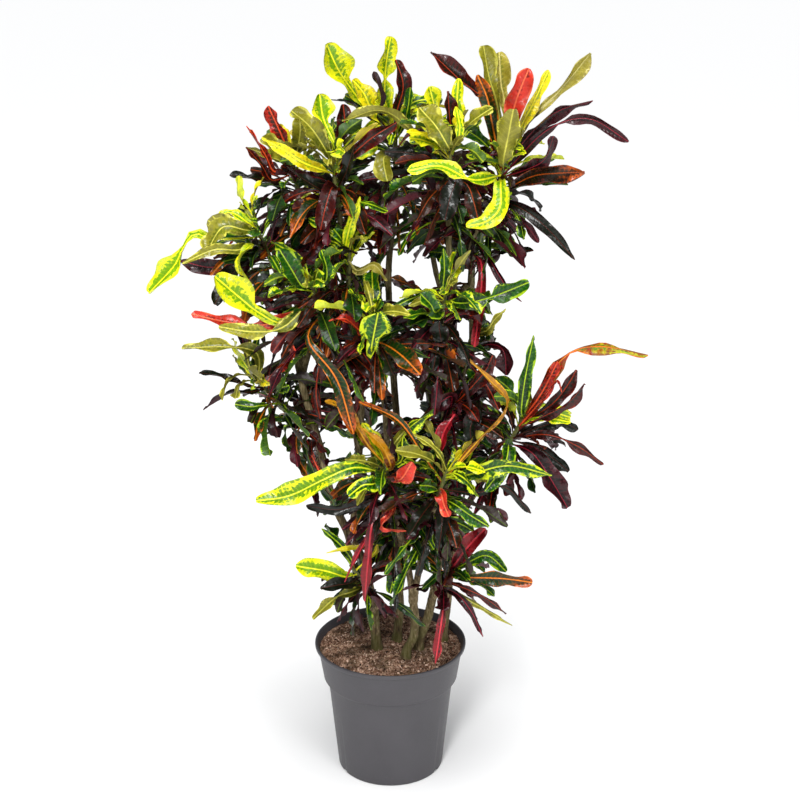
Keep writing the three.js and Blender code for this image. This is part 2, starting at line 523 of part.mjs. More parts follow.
const soilHeight = (x, y, share) =>
  SOIL_EDGE +
  SOIL_MOUND * (1 - share ** 2) +
  SOIL_RELIEF * Math.sin(0.09 * x + 1.3) * Math.cos(0.11 * y - 0.4) * (1 - share ** 6);

// The fill of the pot: a lathe-like body up to its edge, with an uneven top, less its stems' holes.
function makeSoil(holes) {
  const clear = POT_WALL + SOIL_CLEARANCE;
  const bandFoot = BAND_FOOT_HEIGHT + 2;
  const rise = (SOIL_EDGE - bandFoot) / (POT_HEIGHT - LIP_HEIGHT - 4 - bandFoot);
  const edge = THREE.MathUtils.lerp(BAND_FOOT_RADIUS, BAND_TOP_RADIUS, rise) - clear;
  const ring = (radius, height) =>
    Array.from({ length: SOIL_SIDES }, (_, k) => {
      const angle = (2 * Math.PI * k) / SOIL_SIDES;
      const [x, y] = [radius * Math.cos(angle), radius * Math.sin(angle)];
      return new THREE.Vector3(x, y, height(x, y));
    });
  const rings = [
    ring(FOOT_RADIUS - clear - 6, () => POT_FLOOR + GAP),
    ring(FOOT_RADIUS - clear - 1, () => POT_FLOOR + 6),
    ring(WALL_TOP_RADIUS - clear - 0.4, () => WALL_TOP_HEIGHT),
    ring(LEDGE_RADIUS - clear - 0.4, () => LEDGE_HEIGHT + 2),
    ring(BAND_FOOT_RADIUS - clear, () => bandFoot),
    ...SOIL_RINGS.map((share) => ring(edge * share, (x, y) => soilHeight(x, y, share))),
    [new THREE.Vector3(0, 0, soilHeight(0, 0, 0))],
  ];
  const soil = holes.reduce((solid, hole) => solid.subtract(hole), loft(rings));
  return meshOf("soil", soil, COLOURS.soil, 0.95);
}

// ---- Heads and woody stems ----

const heads = Object.fromEntries(
  Object.entries(HEADS).map(([name, [middle, [right, back], young, old]], index) => {
    const axis = new THREE.Vector3(right, back, 1).normalize();
    const at = (height) => vector(middle).addScaledVector(axis, height);
    return [name, { name, index, axis, at, young, old }];
  }),
);

// The curve of a limb. Its last stretch runs straight into the shoot that it carries.
function limbCurve(places) {
  const points = places.filter(Array.isArray).map(vector);
  const head = heads[places.at(-1)];
  if (head) points.push(head.at(-SHOOT_HALF - 25), head.at(-SHOOT_HALF - GAP));
  return curveThrough(points);
}

// The rings of a limb, or of the room round it that is wider by a clearance.
function limbRings([footRadius, endRadius, ...places], clearance = 0) {
  const curve = limbCurve(places);
  const steps = Math.max(2, Math.round(curve.getLength() / LIMB_STEP));
  return Array.from({ length: steps + 1 }, (_, i) => {
    const radius = THREE.MathUtils.lerp(footRadius, endRadius, i / steps) + clearance;
    return roundRing(curve.getPointAt(i / steps), curve.getTangentAt(i / steps), radius, LIMB_SIDES);
  });
}

// The hole that a trunk stands in: a gap wider all round, and a gap deeper.
function stemHole(trunk) {
  const rings = limbRings(trunk, 2 * GAP);
  const floor = rings[0].map((p) => p.clone().setZ(ROOT_END - GAP));
  return loft([floor, ...rings]);
}

// ---- Leaves ----

const radians = THREE.MathUtils.degToRad;
const lerp = THREE.MathUtils.lerp;

// A repeatable number from 0 to 1 for each whole number.
function draw(n) {
  const value = Math.sin(n * 12.9898 + 4.1414) * 43758.5453;
  return value - Math.floor(value);
}

// The blade across its rib at a share t of its length: the place of its middle, the way it runs,
// its half width, and the directions of its side and of its upper face, which looks along facing
// until the blade's turn rolls it about its rib.
function crossSection(leaf, t) {
  const middle = leaf.curve.getPointAt(t);
  const along = leaf.curve.getTangentAt(t);
  const square = leaf.facing.clone().addScaledVector(along, -leaf.facing.dot(along)).normalize();
  const across = along.clone().cross(square);
  const roll = radians(lerp(leaf.turn[0], leaf.turn[1], t * t * (3 - 2 * t)));
  const side = across.clone().multiplyScalar(Math.cos(roll)).addScaledVector(square, -Math.sin(roll));
  const upper = side.clone().cross(along);
  const half = Math.max((leaf.width / 2) * FORMS[leaf.form].reach(t), (PETIOLE / 2) * (1 - t * t));
  return { middle, side, upper, half };
}

// A point of the blade, from its left edge (share -1) over its rib (0) to its right edge (1).
function bladePoint(leaf, section, t, share) {
  const waves = WAVE * leaf.width * Math.sin(19 * t + leaf.phase + 1.9 * share) * Math.min(1, 3 * t);
  const lift = Math.abs(share) * (FOLD * section.half + waves * (section.half > PETIOLE));
  return section.middle
    .clone()
    .addScaledVector(section.side, share * section.half)
    .addScaledVector(section.upper, lift);
}

function leafSolid(leaf) {
  const rings = leaf.rings.map((t) => {
    const section = crossSection(leaf, t);
    const rib = (RIB + RIB_ROOT * (1 - t) ** 3) / 2;
    return [
      bladePoint(leaf, section, t, -1),
      section.middle.clone().addScaledVector(section.upper, rib),
      bladePoint(leaf, section, t, 1),
      section.middle.clone().addScaledVector(section.upper, -rib),
    ];
  });
  return loft([...rings, [leaf.curve.getPointAt(1)]]);
}

const SAMPLES_ALONG = 24;
const SAMPLES_ACROSS = [-1, -0.5, 0, 0.5, 1];
const OWN_ROOT = 0.3; // leaves of one colour on a head may touch within this share of their length
const NEAR_ROOT = 0.1; // and those of its two colours within this one

function sampleLeaf(leaf) {
  const points = [];
  for (let i = 1; i <= SAMPLES_ALONG; i++) {
    const t = i / SAMPLES_ALONG;
    const section = crossSection(leaf, t);
    for (const share of SAMPLES_ACROSS) points.push(bladePoint(leaf, section, t, share));
  }
  const box = new THREE.Box3().setFromPoints(points);
  const young = leaf.head.young > 0 && leaf.height > YOUNG_FROM;
  return { head: leaf.head, young, points, radius: 0, box };
}

function sampleRod(from, to, radius, head = null, young = false) {
  const steps = Math.ceil(from.distanceTo(to) / 6);
  const points = Array.from({ length: steps + 1 }, (_, i) => from.clone().lerp(to, i / steps));
  return { head, young, points, radius, box: new THREE.Box3().setFromPoints(points) };
}

// Whether every sample of a leaf is far enough from everything that is placed. Where it grows from
// the shoot it may be near its own head, and nearer still to what has its own colour there.
function isClear(leaf, placed) {
  return placed.every((other) => {
    const own = other.head === leaf.head;
    const apart = (own ? CLEAR_OF_OWN : CLEAR_OF_OTHERS) + other.radius;
    if (!leaf.box.clone().expandByScalar(apart).intersectsBox(other.box)) return true;
    const root = own ? (other.young === leaf.young ? OWN_ROOT : NEAR_ROOT) : 0;
    const skipped = Math.round(root * SAMPLES_ALONG) * SAMPLES_ACROSS.length;
    const mine = leaf.points.slice(skipped);
    const theirs = other.radius ? other.points : other.points.slice(skipped);
    return mine.every((p) => theirs.every((q) => p.distanceToSquared(q) > apart * apart));
  });
}

function makeLeaf(head, height, form, width, turn, places, facing, phase) {
  const curve = curveThrough([head.at(height), ...places]);
  const rings = FORMS[form].rings;
  return { head, height, form, width, turn, facing, phase, curve, rings };
}

// The ways to place a leaf that was given by hand: as given, or moved a little nearer or farther.
function* placedWays(head, [form, width, height, rootTurn, tipTurn, ...places]) {
  for (const nearer of NEARER) {
    const moved = places.map((place, i) =>
      vector(place).addScaledVector(TOWARDS_FRONT, (nearer * (i + 1)) / places.length),
    );
    yield makeLeaf(head, height, form, width, [rootTurn, tipTurn], moved, TOWARDS_FRONT, width);
  }
}

// The ways to place a leaf of the spiral. It leaves the shoot at an angle from its axis and bends
// outwards along an arc; each further way turns it round the shoot and makes it a little shorter.
function* spiralWays(head, index, young) {
  const count = young ? head.young : head.old;
  const seed = 1000 * head.index + (young ? 500 : 0) + 10 * index;
  const share = (index + 0.5) / count;
  const low = head.young ? (young ? 9 : -36) : -34;
  const high = head.young ? (young ? 38 : -3) : 36;
  const height = lerp(low, high, share);
  const age = 1 - (height + SHOOT_HALF) / (2 * SHOOT_HALF);
  const form = SPIRAL_FORMS[Math.floor(draw(seed) * SPIRAL_FORMS.length)];
  const width = lerp(...SPIRAL_WIDTHS, draw(seed + 1));
  const turn = [lerp(-25, 25, draw(seed + 2)), lerp(-60, 100, draw(seed + 3))];
  const across = head.axis.clone().cross(new THREE.Vector3(1, 0, 0)).normalize();
  for (let way = 0; way < SPIRAL_WAYS; way++) {
    const side = (way % 2 ? -1 : 1) * Math.ceil(way / 2);
    const azimuth = radians(GOLDEN_ANGLE * (index + (young ? 7 : 0)) + 50 * head.index + 21 * side);
    const outward = across.clone().applyAxisAngle(head.axis, azimuth);
    const full = lerp(...SPIRAL_LENGTHS, draw(seed + 4)) * lerp(0.85, 1.2, age);
    const length = full * (1 - 0.04 * way);
    const start = radians(lerp(24, 70, age) + 12 * draw(seed + 5));
    const bend = radians(lerp(35, 75, draw(seed + 6)) + 4 * side);
    const places = [1 / 3, 2 / 3, 1].map((t) => {
      const out = (length / bend) * (Math.cos(start) - Math.cos(start + bend * t));
      const up = (length / bend) * (Math.sin(start + bend * t) - Math.sin(start));
      return head.at(height + up).addScaledVector(outward, out);
    });
    yield makeLeaf(head, height, form, width, turn, places, head.axis, seed);
  }
}

// ---- The plant put together ----

const plant = new THREE.Group();
plant.add(makePot());
plant.add(makeSoil(Object.values(STEMS).map(([trunk]) => stemHole(trunk))));

const placed = [];
for (const [name, limbs] of Object.entries(STEMS)) {
  const solid = wasm.Manifold.union(limbs.map((limb) => loft(limbRings(limb))));
  plant.add(meshOf(`stem_${name}`, solid, COLOURS.bark, 0.85));
  for (const [footRadius, , ...places] of limbs) {
    const points = limbCurve(places).getSpacedPoints(24);
    points.slice(1).forEach((p, i) => placed.push(sampleRod(points[i], p, footRadius)));
  }
}
for (const head of Object.values(heads)) {
  const [foot, tip] = [head.at(-SHOOT_HALF), head.at(SHOOT_HALF)];
  const change = head.at(head.young ? YOUNG_FROM : SHOOT_HALF);
  placed.push(sampleRod(foot, change, SHOOT_RADII[1], head, false));
  if (head.young) placed.push(sampleRod(change, tip, SHOOT_RADII[2], head, true));
}

function isInClearing(p) {
  const seen = p.clone().sub(EYE).multiplyScalar(EYE.y / (EYE.y - p.y)).add(EYE);
  return CLEARINGS.some(([x, z, radius]) => Math.hypot(seen.x - x, seen.z - z) < radius);
}

// Whether every point of a leaf is within the crown's reach and out of its clearings.
function isWithinCrown({ points }) {
  return points.every((p) => {
    if (isInClearing(p)) return false;
    const next = CROWN.findIndex(([height]) => height > p.z);
    const [above, below] = [CROWN.at(next), CROWN.at(Math.max(next, 1) - 1)];
    const share = next < 1 ? 1 : (p.z - below[0]) / (above[0] - below[0]);
    return p.x > -lerp(below[1], above[1], share) && p.x < lerp(below[2], above[2], share);
  });
}

// Puts a leaf on its head the first way that is clear of everything placed before it.
function settle(ways, bounded) {
  for (const leaf of ways) {
    const samples = sampleLeaf(leaf);
    if ((!bounded || isWithinCrown(samples)) && isClear(samples, placed)) {
      placed.push(samples);
      (leaf.head.leaves ??= []).push(leaf);
      return;
    }
  }
}

for (const [name, leaves] of Object.entries(PLACED_LEAVES))
  for (const leaf of leaves) settle(placedWays(heads[name], leaf), false);
const most = Math.max(...Object.values(heads).map((head) => Math.max(head.young, head.old)));
for (let index = 0; index < most; index++)
  for (const head of Object.values(heads)) {
    if (index < head.young) settle(spiralWays(head, index, true), true);
    if (index < head.old) settle(spiralWays(head, index, false), true);
  }

// The stretch of a head's shoot from one height to another, fused with the leaves that grow on it.
function makeShoot(name, head, from, to, leaves, colour) {
  const radiusAt = (height) =>
    lerp(SHOOT_RADII[0], SHOOT_RADII[2], (height + SHOOT_HALF) / (2 * SHOOT_HALF));
  const rod = loft(
    [from, to].map((height) => roundRing(head.at(height), head.axis, radiusAt(height), SHOOT_SIDES)),
  );
  return meshOf(name, wasm.Manifold.union([rod, ...leaves.map(leafSolid)]), colour);
}

for (const head of Object.values(heads)) {
  const name = `leaves_${head.name}`;
  if (head.young) {
    const [young, old] = [true, false].map((side) =>
      head.leaves.filter((leaf) => leaf.height > YOUNG_FROM === side),
    );
    plant.add(makeShoot(`${name}_old`, head, -SHOOT_HALF, YOUNG_FROM, old, COLOURS.old));
    plant.add(makeShoot(`${name}_young`, head, YOUNG_FROM + GAP, SHOOT_HALF, young, COLOURS.young));
  } else plant.add(makeShoot(name, head, -SHOOT_HALF, SHOOT_HALF, head.leaves, COLOURS.old));
}

export default plant;
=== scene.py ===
"""The looks of a potted croton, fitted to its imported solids: the pot, the soil, the woody stems and the
leafy heads, and last the floor, the lights and the camera. Sizes are in millimetres, and each mesh is
made in metres, with +Z up, the front facing -Y and the origin in the middle of the pot's underside."""

import math

import bpy
import numpy as np
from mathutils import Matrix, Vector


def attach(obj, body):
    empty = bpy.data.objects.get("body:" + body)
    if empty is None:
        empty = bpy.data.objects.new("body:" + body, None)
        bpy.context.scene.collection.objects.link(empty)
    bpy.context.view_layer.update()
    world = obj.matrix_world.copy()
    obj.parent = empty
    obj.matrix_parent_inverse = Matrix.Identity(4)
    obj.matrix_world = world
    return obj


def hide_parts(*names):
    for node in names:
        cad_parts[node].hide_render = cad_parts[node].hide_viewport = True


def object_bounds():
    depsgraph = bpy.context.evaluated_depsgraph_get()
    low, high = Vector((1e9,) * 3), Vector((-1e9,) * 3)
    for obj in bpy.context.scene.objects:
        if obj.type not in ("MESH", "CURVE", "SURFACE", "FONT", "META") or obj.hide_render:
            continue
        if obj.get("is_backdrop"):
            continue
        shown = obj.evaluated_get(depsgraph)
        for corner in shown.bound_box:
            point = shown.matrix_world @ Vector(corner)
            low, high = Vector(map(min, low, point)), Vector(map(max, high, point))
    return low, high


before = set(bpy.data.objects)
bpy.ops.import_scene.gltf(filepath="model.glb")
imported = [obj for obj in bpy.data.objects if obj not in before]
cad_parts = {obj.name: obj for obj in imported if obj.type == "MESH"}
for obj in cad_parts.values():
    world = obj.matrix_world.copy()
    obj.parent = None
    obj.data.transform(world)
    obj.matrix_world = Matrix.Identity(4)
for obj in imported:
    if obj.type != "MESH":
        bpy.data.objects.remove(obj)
cad_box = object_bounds()

# ---- Pot ----
# A nursery pot, moulded in one piece from grey recycled plastic: a rolled lip, an upper band, a wall
# that steps in under it, and a flat floor with drain holes and with notches round its foot.

POT_HEIGHT = 243
RIM_RADIUS = 135
BAND_TOP_RADIUS = 128.5
BAND_TOP_HEIGHT = 232
BAND_FOOT_RADIUS = 120
BAND_FOOT_HEIGHT = 178
LEDGE_RADIUS = 113
LEDGE_HEIGHT = 169
WALL_TOP_RADIUS = 109.5
WALL_TOP_HEIGHT = 150
FOOT_RADIUS = 95.5
POT_WALL = 1.8
POT_FLOOR = 2.6
POT_AROUND = 240
FOOT_RING = 15
DRAIN_HOLES = 6
DRAIN_RADIUS = 5
DRAIN_CIRCLE = 62
DRAIN_AROUND = 24
FOOT_NOTCHES = 3
NOTCH_WIDTH = 13
NOTCH_HEIGHT = 5

# Corners of the pot's profile as (radius, height, rounding), from the middle of the underside out,
# up to the lip and down inside to the middle of the floor.
POT_CORNERS = [
    (3, 0, 0),
    (FOOT_RADIUS - 16, 0, 0.3),
    (FOOT_RADIUS - 14, 0, 0.3),
    (FOOT_RADIUS - 1, 0, 3.5),
    (WALL_TOP_RADIUS, WALL_TOP_HEIGHT, 8),
    (LEDGE_RADIUS - 0.6, LEDGE_HEIGHT + 0.6, 3),
    (BAND_FOOT_RADIUS - 2.8, BAND_FOOT_HEIGHT - 1.4, 1),
    (BAND_FOOT_RADIUS - 0.2, BAND_FOOT_HEIGHT - 1.2, 0.5),
    (BAND_FOOT_RADIUS, BAND_FOOT_HEIGHT + 0.6, 0.8),
    (BAND_TOP_RADIUS, POT_HEIGHT - 11.5, 2),
    (BAND_TOP_RADIUS + 0.8, POT_HEIGHT - 8.5, 1),
    (RIM_RADIUS - 1.4, POT_HEIGHT - 8, 1.6),
    (RIM_RADIUS, POT_HEIGHT - 4, 2.4),
    (RIM_RADIUS - 1, POT_HEIGHT, 1.8),
    (RIM_RADIUS - 4.6, POT_HEIGHT - 0.4, 1.6),
    (BAND_TOP_RADIUS - POT_WALL, POT_HEIGHT - 11, 3),
    (BAND_FOOT_RADIUS - POT_WALL, BAND_FOOT_HEIGHT + 1, 3),
    (LEDGE_RADIUS - POT_WALL, LEDGE_HEIGHT + 1, 3),
    (WALL_TOP_RADIUS - POT_WALL, WALL_TOP_HEIGHT, 5),
    (FOOT_RADIUS - POT_WALL, POT_FLOOR, 4),
    (3, POT_FLOOR, 0),
]


def unit(arrows):
    """The arrows made one long each."""
    return arrows / np.linalg.norm(arrows, axis=-1, keepdims=True)


def rounded(corners, steps=5):
    """A path through corners (radius, height, rounding). Each corner turns into a short curve: with u
    from 0 to 1, (1-u)^2 times its start + 2u(1-u) times the corner + u^2 times its end."""
    places = np.array(corners, float)[:, :2]
    path = [places[:1]]
    for before, corner, after, rounding in zip(
        places, places[1:], places[2:], [c[2] for c in corners[1:]]
    ):
        start = corner + unit(before - corner) * rounding
        end = corner + unit(after - corner) * rounding
        u = np.linspace(0, 1, steps)[:, None]
        path.append((1 - u) ** 2 * start + 2 * u * (1 - u) * corner + u**2 * end)
    return np.vstack([*path, places[-1:]])


def join_rings(stacks):
    """Joins stacks of rings, each an array (ring, place in it, channel) whose first three channels are
    x, y, z. Every ring closes on itself, and a fan to a ring's mean closes each end of a stack.
    Returns the points with their channels, the quads and the triangles."""
    points, quads, triangles = [], [], []
    first = 0
    for stack in stacks:
        rings, around, channels = stack.shape
        ring, place = np.meshgrid(np.arange(rings - 1), np.arange(around), indexing="ij")
        near = first + ring * around + place
        far = first + ring * around + (place + 1) % around
        quads.append(np.stack([near, far, far + around, near + around], -1).reshape(-1, 4))
        here, there = np.arange(around), (np.arange(around) + 1) % around
        foot, tip = first + rings * around, first + rings * around + 1
        last = first + (rings - 1) * around
        triangles.append(np.stack([np.full(around, foot), first + there, first + here], -1))
        triangles.append(np.stack([np.full(around, tip), last + here, last + there], -1))
        points += [stack.reshape(-1, channels), stack[0].mean(0)[None], stack[-1].mean(0)[None]]
        first = tip + 1
    return np.vstack(points), np.vstack(quads), np.vstack(triangles)


def piece_of(name, points, quads, triangles, materials, sharp=70):
    """A smooth object from points in millimetres and their faces. Edges sharper than an angle in
    degrees stay sharp."""
    mesh = bpy.data.meshes.new(name)
    corners = np.concatenate([quads.ravel(), triangles.ravel()])
    sizes = np.repeat([4, 3], [len(quads), len(triangles)])
    mesh.vertices.add(len(points))
    mesh.vertices.foreach_set("co", (points[:, :3] / 1000).ravel())
    mesh.loops.add(len(corners))
    mesh.loops.foreach_set("vertex_index", corners)
    mesh.polygons.add(len(sizes))
    mesh.polygons.foreach_set("loop_start", np.cumsum(sizes) - sizes)
    mesh.polygons.foreach_set("loop_total", sizes)
    mesh.update(calc_edges=True)
    mesh.shade_smooth()
    mesh.set_sharp_from_angle(angle=math.radians(sharp))
    for material in materials:
        mesh.materials.append(material)
    made = bpy.data.objects.new(name, mesh)
    bpy.context.collection.objects.link(made)
    return made


def fitted(made, slot, *nodes):
    """Sets a piece on the plant and hides the solids that it stands for. Its slot is not used."""
    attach(made, "root")
    if nodes:
        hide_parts(*nodes)


def colour(code):
    """The linear colour of a six-figure colour code."""
    shares = [int(code[i : i + 2], 16) / 255 for i in (0, 2, 4)]
    return [s / 12.92 if s <= 0.04045 else ((s + 0.055) / 1.055) ** 2.4 for s in shares]


class Wire:
    """A socket in a material's nodes. Sums, differences, products and quotients of wires and numbers
    add the Math nodes that work them out, and node() adds any other node."""

    def __init__(self, tree, socket):
        self.tree = tree
        self.socket = socket

    def node(self, kind, settings, sockets, out=0):
        """A new node with its settings and with wires or values on its sockets, as one of its outputs."""
        made = self.tree.nodes.new(kind)
        for name, value in settings.items():
            setattr(made, name, value)
        for name, value in sockets.items():
            if isinstance(value, Wire):
                self.tree.links.new(value.socket, made.inputs[name])
            elif made.inputs[name].type == "RGBA":
                made.inputs[name].default_value = (*value, 1)
            else:
                made.inputs[name].default_value = value
        return Wire(self.tree, made.outputs[out])

    def math(self, operation, *values):
        return self.node("ShaderNodeMath", {"operation": operation}, dict(enumerate(values)))

    def __add__(self, other):
        return self.math("ADD", self, other)

    def __sub__(self, other):
        return self.math("SUBTRACT", self, other)

    def __rsub__(self, other):
        return self.math("SUBTRACT", other, self)

    def __mul__(self, other):
        return self.math("MULTIPLY", self, other)

    def __truediv__(self, other):
        return self.math("DIVIDE", self, other)

    __radd__ = __add__
    __rmul__ = __mul__

    def step(self, low, high):
        """A smooth rise from 0 where this is low to 1 where it is high."""
        sockets = {"Value": self, "From Min": low, "From Max": high}
        return self.node("ShaderNodeMapRange", {"interpolation_type": "SMOOTHSTEP"}, sockets)

    def mix(self, a, b):
        """The colour a where this is 0 and the colour b where it is 1."""
        return self.node("ShaderNodeMix", {"data_type": "RGBA"}, {0: self, 6: a, 7: b}, 2)

    def ramp(self, *stops):
        """The colour at this place on a ramp of stops, each a place from 0 to 1 and a colour code."""
        made = self.node("ShaderNodeValToRGB", {}, {"Fac": self})
        elements = made.socket.node.color_ramp.elements
        while len(elements) < len(stops):
            elements.new(1)
        for stop, (place, code) in zip(elements, stops):
            stop.position = place
            stop.color = (*colour(code), 1)
        return made

    def stretched(self, scale, turn=0):
        """Places scaled along each axis, then turned about the vertical one by a number of radians."""
        sockets = {"Vector": self, "Scale": scale, "Rotation": (0, 0, turn)}
        return self.node("ShaderNodeMapping", {}, sockets)

    def parts(self):
        """The three numbers of a vector, as wires."""
        return [self.node("ShaderNodeSeparateXYZ", {}, {0: self}, k) for k in range(3)]

    def measure(self, name, out=0):
        """A measure written on the piece: its colour, or out 1 for a vector, or out 2 for a number."""
        return self.node("ShaderNodeAttribute", {"attribute_name": name}, {}, out)

    def noise(self, scale, detail=3, roughness=0.55):
        """Noise of a number of lumps a metre, over places."""
        sockets = {"Vector": self, "Scale": scale, "Detail": detail, "Roughness": roughness}
        return self.node("ShaderNodeTexNoise", {}, sockets)


def finish_of(name, **sockets):
    """A material that is one shader, with its even values set on its own sockets. Returns it, its
    shader and the places on the piece."""
    material = bpy.data.materials.new(name)
    material.use_nodes = True
    tree = material.node_tree
    shader = tree.nodes["Principled BSDF"]
    for socket, value in sockets.items():
        shader.inputs[socket.replace("_", " ")].default_value = value
    places = Wire(tree, tree.nodes.new("ShaderNodeTexCoord").outputs["Object"])
    return material, shader, places


def feed(shader, places, height=None, depth=0.0, **wires):
    """Joins wires to a shader's sockets, and a height in metres times a depth to its surface."""
    for socket, wire in wires.items():
        places.tree.links.new(wire.socket, shader.inputs[socket.replace("_", " ")])
    if height:
        bump = places.node("ShaderNodeBump", {}, {"Strength": 1.0, "Distance": depth, "Height": height})
        places.tree.links.new(bump.socket, shader.inputs["Normal"])


def pot_plastic():
    """Grey plastic with faint cloudy mottling and a fine grain of paler specks."""
    material, shader, places = finish_of("Pot plastic", Specular_IOR_Level=0.4)
    cloud = places.noise(14, 5)
    speck = places.noise(900, 2)
    tone = cloud.step(0.3, 0.7).mix(colour("403e42"), colour("474549"))
    shade = speck.step(0.55, 0.75).mix(tone, colour("504e52"))
    gloss = cloud.step(0.3, 0.7) * 0.1 + 0.42
    feed(shader, places, speck + cloud * 0.5, 0.0004, Base_Color=shade, Roughness=gloss)
    return material


def lathe(profile, around):
    """Rings about the Z axis at each (radius, height) of a profile."""
    angle = np.arange(around) * 2 * np.pi / around
    radius, height = np.array(profile).T
    x = radius[:, None] * np.cos(angle)
    y = radius[:, None] * np.sin(angle)
    return np.stack([x, y, np.broadcast_to(height[:, None], x.shape)], -1)


def pot_rings():
    """The lathed profile, with notches round its foot: there the outer points under the notch's height
    rise to that height."""
    rings = lathe(rounded(POT_CORNERS), POT_AROUND)
    x, y, z = np.moveaxis(rings, -1, 0)
    radius = np.hypot(x, y)
    turn = (np.arctan2(y, x) - np.pi / 2) / (2 * np.pi / FOOT_NOTCHES) % 1
    off = np.minimum(turn, 1 - turn) * (2 * np.pi / FOOT_NOTCHES) * FOOT_RADIUS
    lifted = (off < NOTCH_WIDTH / 2) & (radius > FOOT_RADIUS - FOOT_RING) & (z < NOTCH_HEIGHT)
    outer = np.arange(len(rings))[:, None] < len(rings) / 2
    rings[..., 2] = np.where(lifted & outer, NOTCH_HEIGHT, z)
    return rings


def drill(made, radius, circle, count):
    """Cuts round holes down through a piece, evenly on a circle."""
    drills = []
    for k in range(count):
        angle = 2 * np.pi * (k + 0.5) / count
        cylinder = lathe([(radius, -10), (radius, 10)], DRAIN_AROUND)
        drills.append(cylinder + [circle * np.cos(angle), circle * np.sin(angle), 0])
    tool = piece_of("drill", *join_rings(drills), [])
    cut = made.modifiers.new("holes", "BOOLEAN")
    cut.operation = "DIFFERENCE"
    cut.object = tool
    whole = made.data
    view = bpy.context.evaluated_depsgraph_get()
    made.data = bpy.data.meshes.new_from_object(made.evaluated_get(view))
    made.modifiers.clear()
    bpy.data.meshes.remove(whole)
    bpy.data.objects.remove(tool)


pot = piece_of("pot_shell", *join_rings([pot_rings()]), [pot_plastic()], 35)
drill(pot, DRAIN_RADIUS, DRAIN_CIRCLE, DRAIN_HOLES)
fitted(pot, "pot_plastic", "pot")

# ---- Soil ----
# A crumbly mix of brown peat and coir that fills the pot to a finger's width under its lip, with pale
# coir fibres, crumbs, splinters and a little moss on top.

SOIL_EDGE = 229
SOIL_MOUND = 7
SOIL_RELIEF = 1.6
SOIL_GAP = 0.3
SOIL_AROUND = 240
SOIL_RINGS = 90
CRUMBLY = [(12, 2.4), (5, 3.4), (2.4, 2.2)]  # sizes of crumbs across and their heights
HOLLOWS = 4  # how far the hollows between them lie under the solid's top
FIBRES = 140
FIBRE_LENGTHS = [9, 34]
FIBRE_RADII = [0.22, 0.55]
FIBRE_POINTS = 7
CRUMBS = 1600
CRUMB_SIDES = 6

rng = np.random.default_rng(11)
soil_rise = (SOIL_EDGE - BAND_FOOT_HEIGHT) / (BAND_TOP_HEIGHT - BAND_FOOT_HEIGHT)
soil_radius = BAND_FOOT_RADIUS + (BAND_TOP_RADIUS - BAND_FOOT_RADIUS) * soil_rise - POT_WALL - SOIL_GAP


def draw(n):
    """A repeatable number from 0 to 1 for each number: the fraction of a large multiple of its sine."""
    value = np.sin(n * 12.9898 + 4.1414) * 43758.5453
    return value - np.floor(value)


def lumps(x, y, size, seed):
    """Smooth random heights from 0 to 1: drawn at the corners of squares of a size, and eased between
    them by 3u^2 - 2u^3 each way."""
    column, row = np.floor(x / size), np.floor(y / size)
    u, v = x / size - column, y / size - row
    u, v = u * u * (3 - 2 * u), v * v * (3 - 2 * v)

    def corner(i, j):
        return draw((column + i) * 7.31 + (row + j) * 113.7 + seed)

    low = corner(0, 0) * (1 - u) + corner(1, 0) * u
    high = corner(0, 1) * (1 - u) + corner(1, 1) * u
    return low * (1 - v) + high * v


def soil_height(x, y):
    """The height of the soil: its edge, a low mound, gentle relief that dies out at the wall, and
    crumbs of three sizes."""
    share = np.hypot(x, y) / soil_radius
    relief = SOIL_RELIEF * np.sin(0.09 * x + 1.3) * np.cos(0.11 * y - 0.4) * (1 - share**6)
    crumbs = sum(high * lumps(x, y, size, seed) for seed, (size, high) in enumerate(CRUMBLY, 1))
    return SOIL_EDGE - HOLLOWS + SOIL_MOUND * (1 - share**2) + relief + crumbs


def soil_rings():
    """Rings up the inside of the pot's wall and then in over the top, as far as its middle."""
    side = [
        (FOOT_RADIUS - 8, POT_FLOOR + 0.3),
        (FOOT_RADIUS - 3, POT_FLOOR + 6),
        (WALL_TOP_RADIUS - 3, WALL_TOP_HEIGHT),
        (LEDGE_RADIUS - 3, LEDGE_HEIGHT + 2),
        (BAND_FOOT_RADIUS - 3, BAND_FOOT_HEIGHT + 2),
    ]
    top = [(soil_radius * share, 0) for share in np.linspace(1, 0.01, SOIL_RINGS)]
    rings = lathe(side + top, SOIL_AROUND)
    x, y, z = np.moveaxis(rings[len(side) :], -1, 0)
    z[:] = soil_height(x, y)
    return rings


def peat():
    """Brown crumbs of uneven tone, with painted shade that darkens the hollows, flecked with pale coir and
    tinged with moss.
    """
    material, shader, places = finish_of("Peat and coir", Roughness=0.95, Specular_IOR_Level=0.2)
    coarse = places.noise(90, 6, 0.7)
    fine = places.noise(420, 5, 0.7)
    fibre = places.stretched((1, 5, 1), 0.7).noise(260, 2, 0.4)
    moss = places.noise(26, 3).step(0.5, 0.6)
    # One noise gives both the colour and the bump's height, so the dark end of this ramp is painted shade
    # in the hollows, over the peat's own uneven tone.
    tone_and_painted_shade = (coarse * 0.5 + fine * 0.5).ramp((0.38, "1c120c"), (0.49, "785642"), (0.57, "d8b298"))
    pale = fibre.step(0.62, 0.7).mix(tone_and_painted_shade, colour("b8927c"))
    green = (moss * fine.step(0.4, 0.6) * 0.75).mix(pale, colour("34341a"))
    feed(shader, places, fine + coarse, 0.003, Base_Color=green)
    return material


def litter(*codes):
    """The dull, dry finish of bits on the soil, each with its own tone between three colours and all
    darker in damp patches."""
    material, shader, places = finish_of("Dry litter", Roughness=0.85, Specular_IOR_Level=0.2)
    shade = places.measure("tone", 2).ramp(*zip((0, 0.5, 1), codes))
    damp = places.noise(24, 3).step(0.5, 0.62) * 0.7
    feed(shader, places, Base_Color=damp.mix(shade, colour("241c10")))
    return material


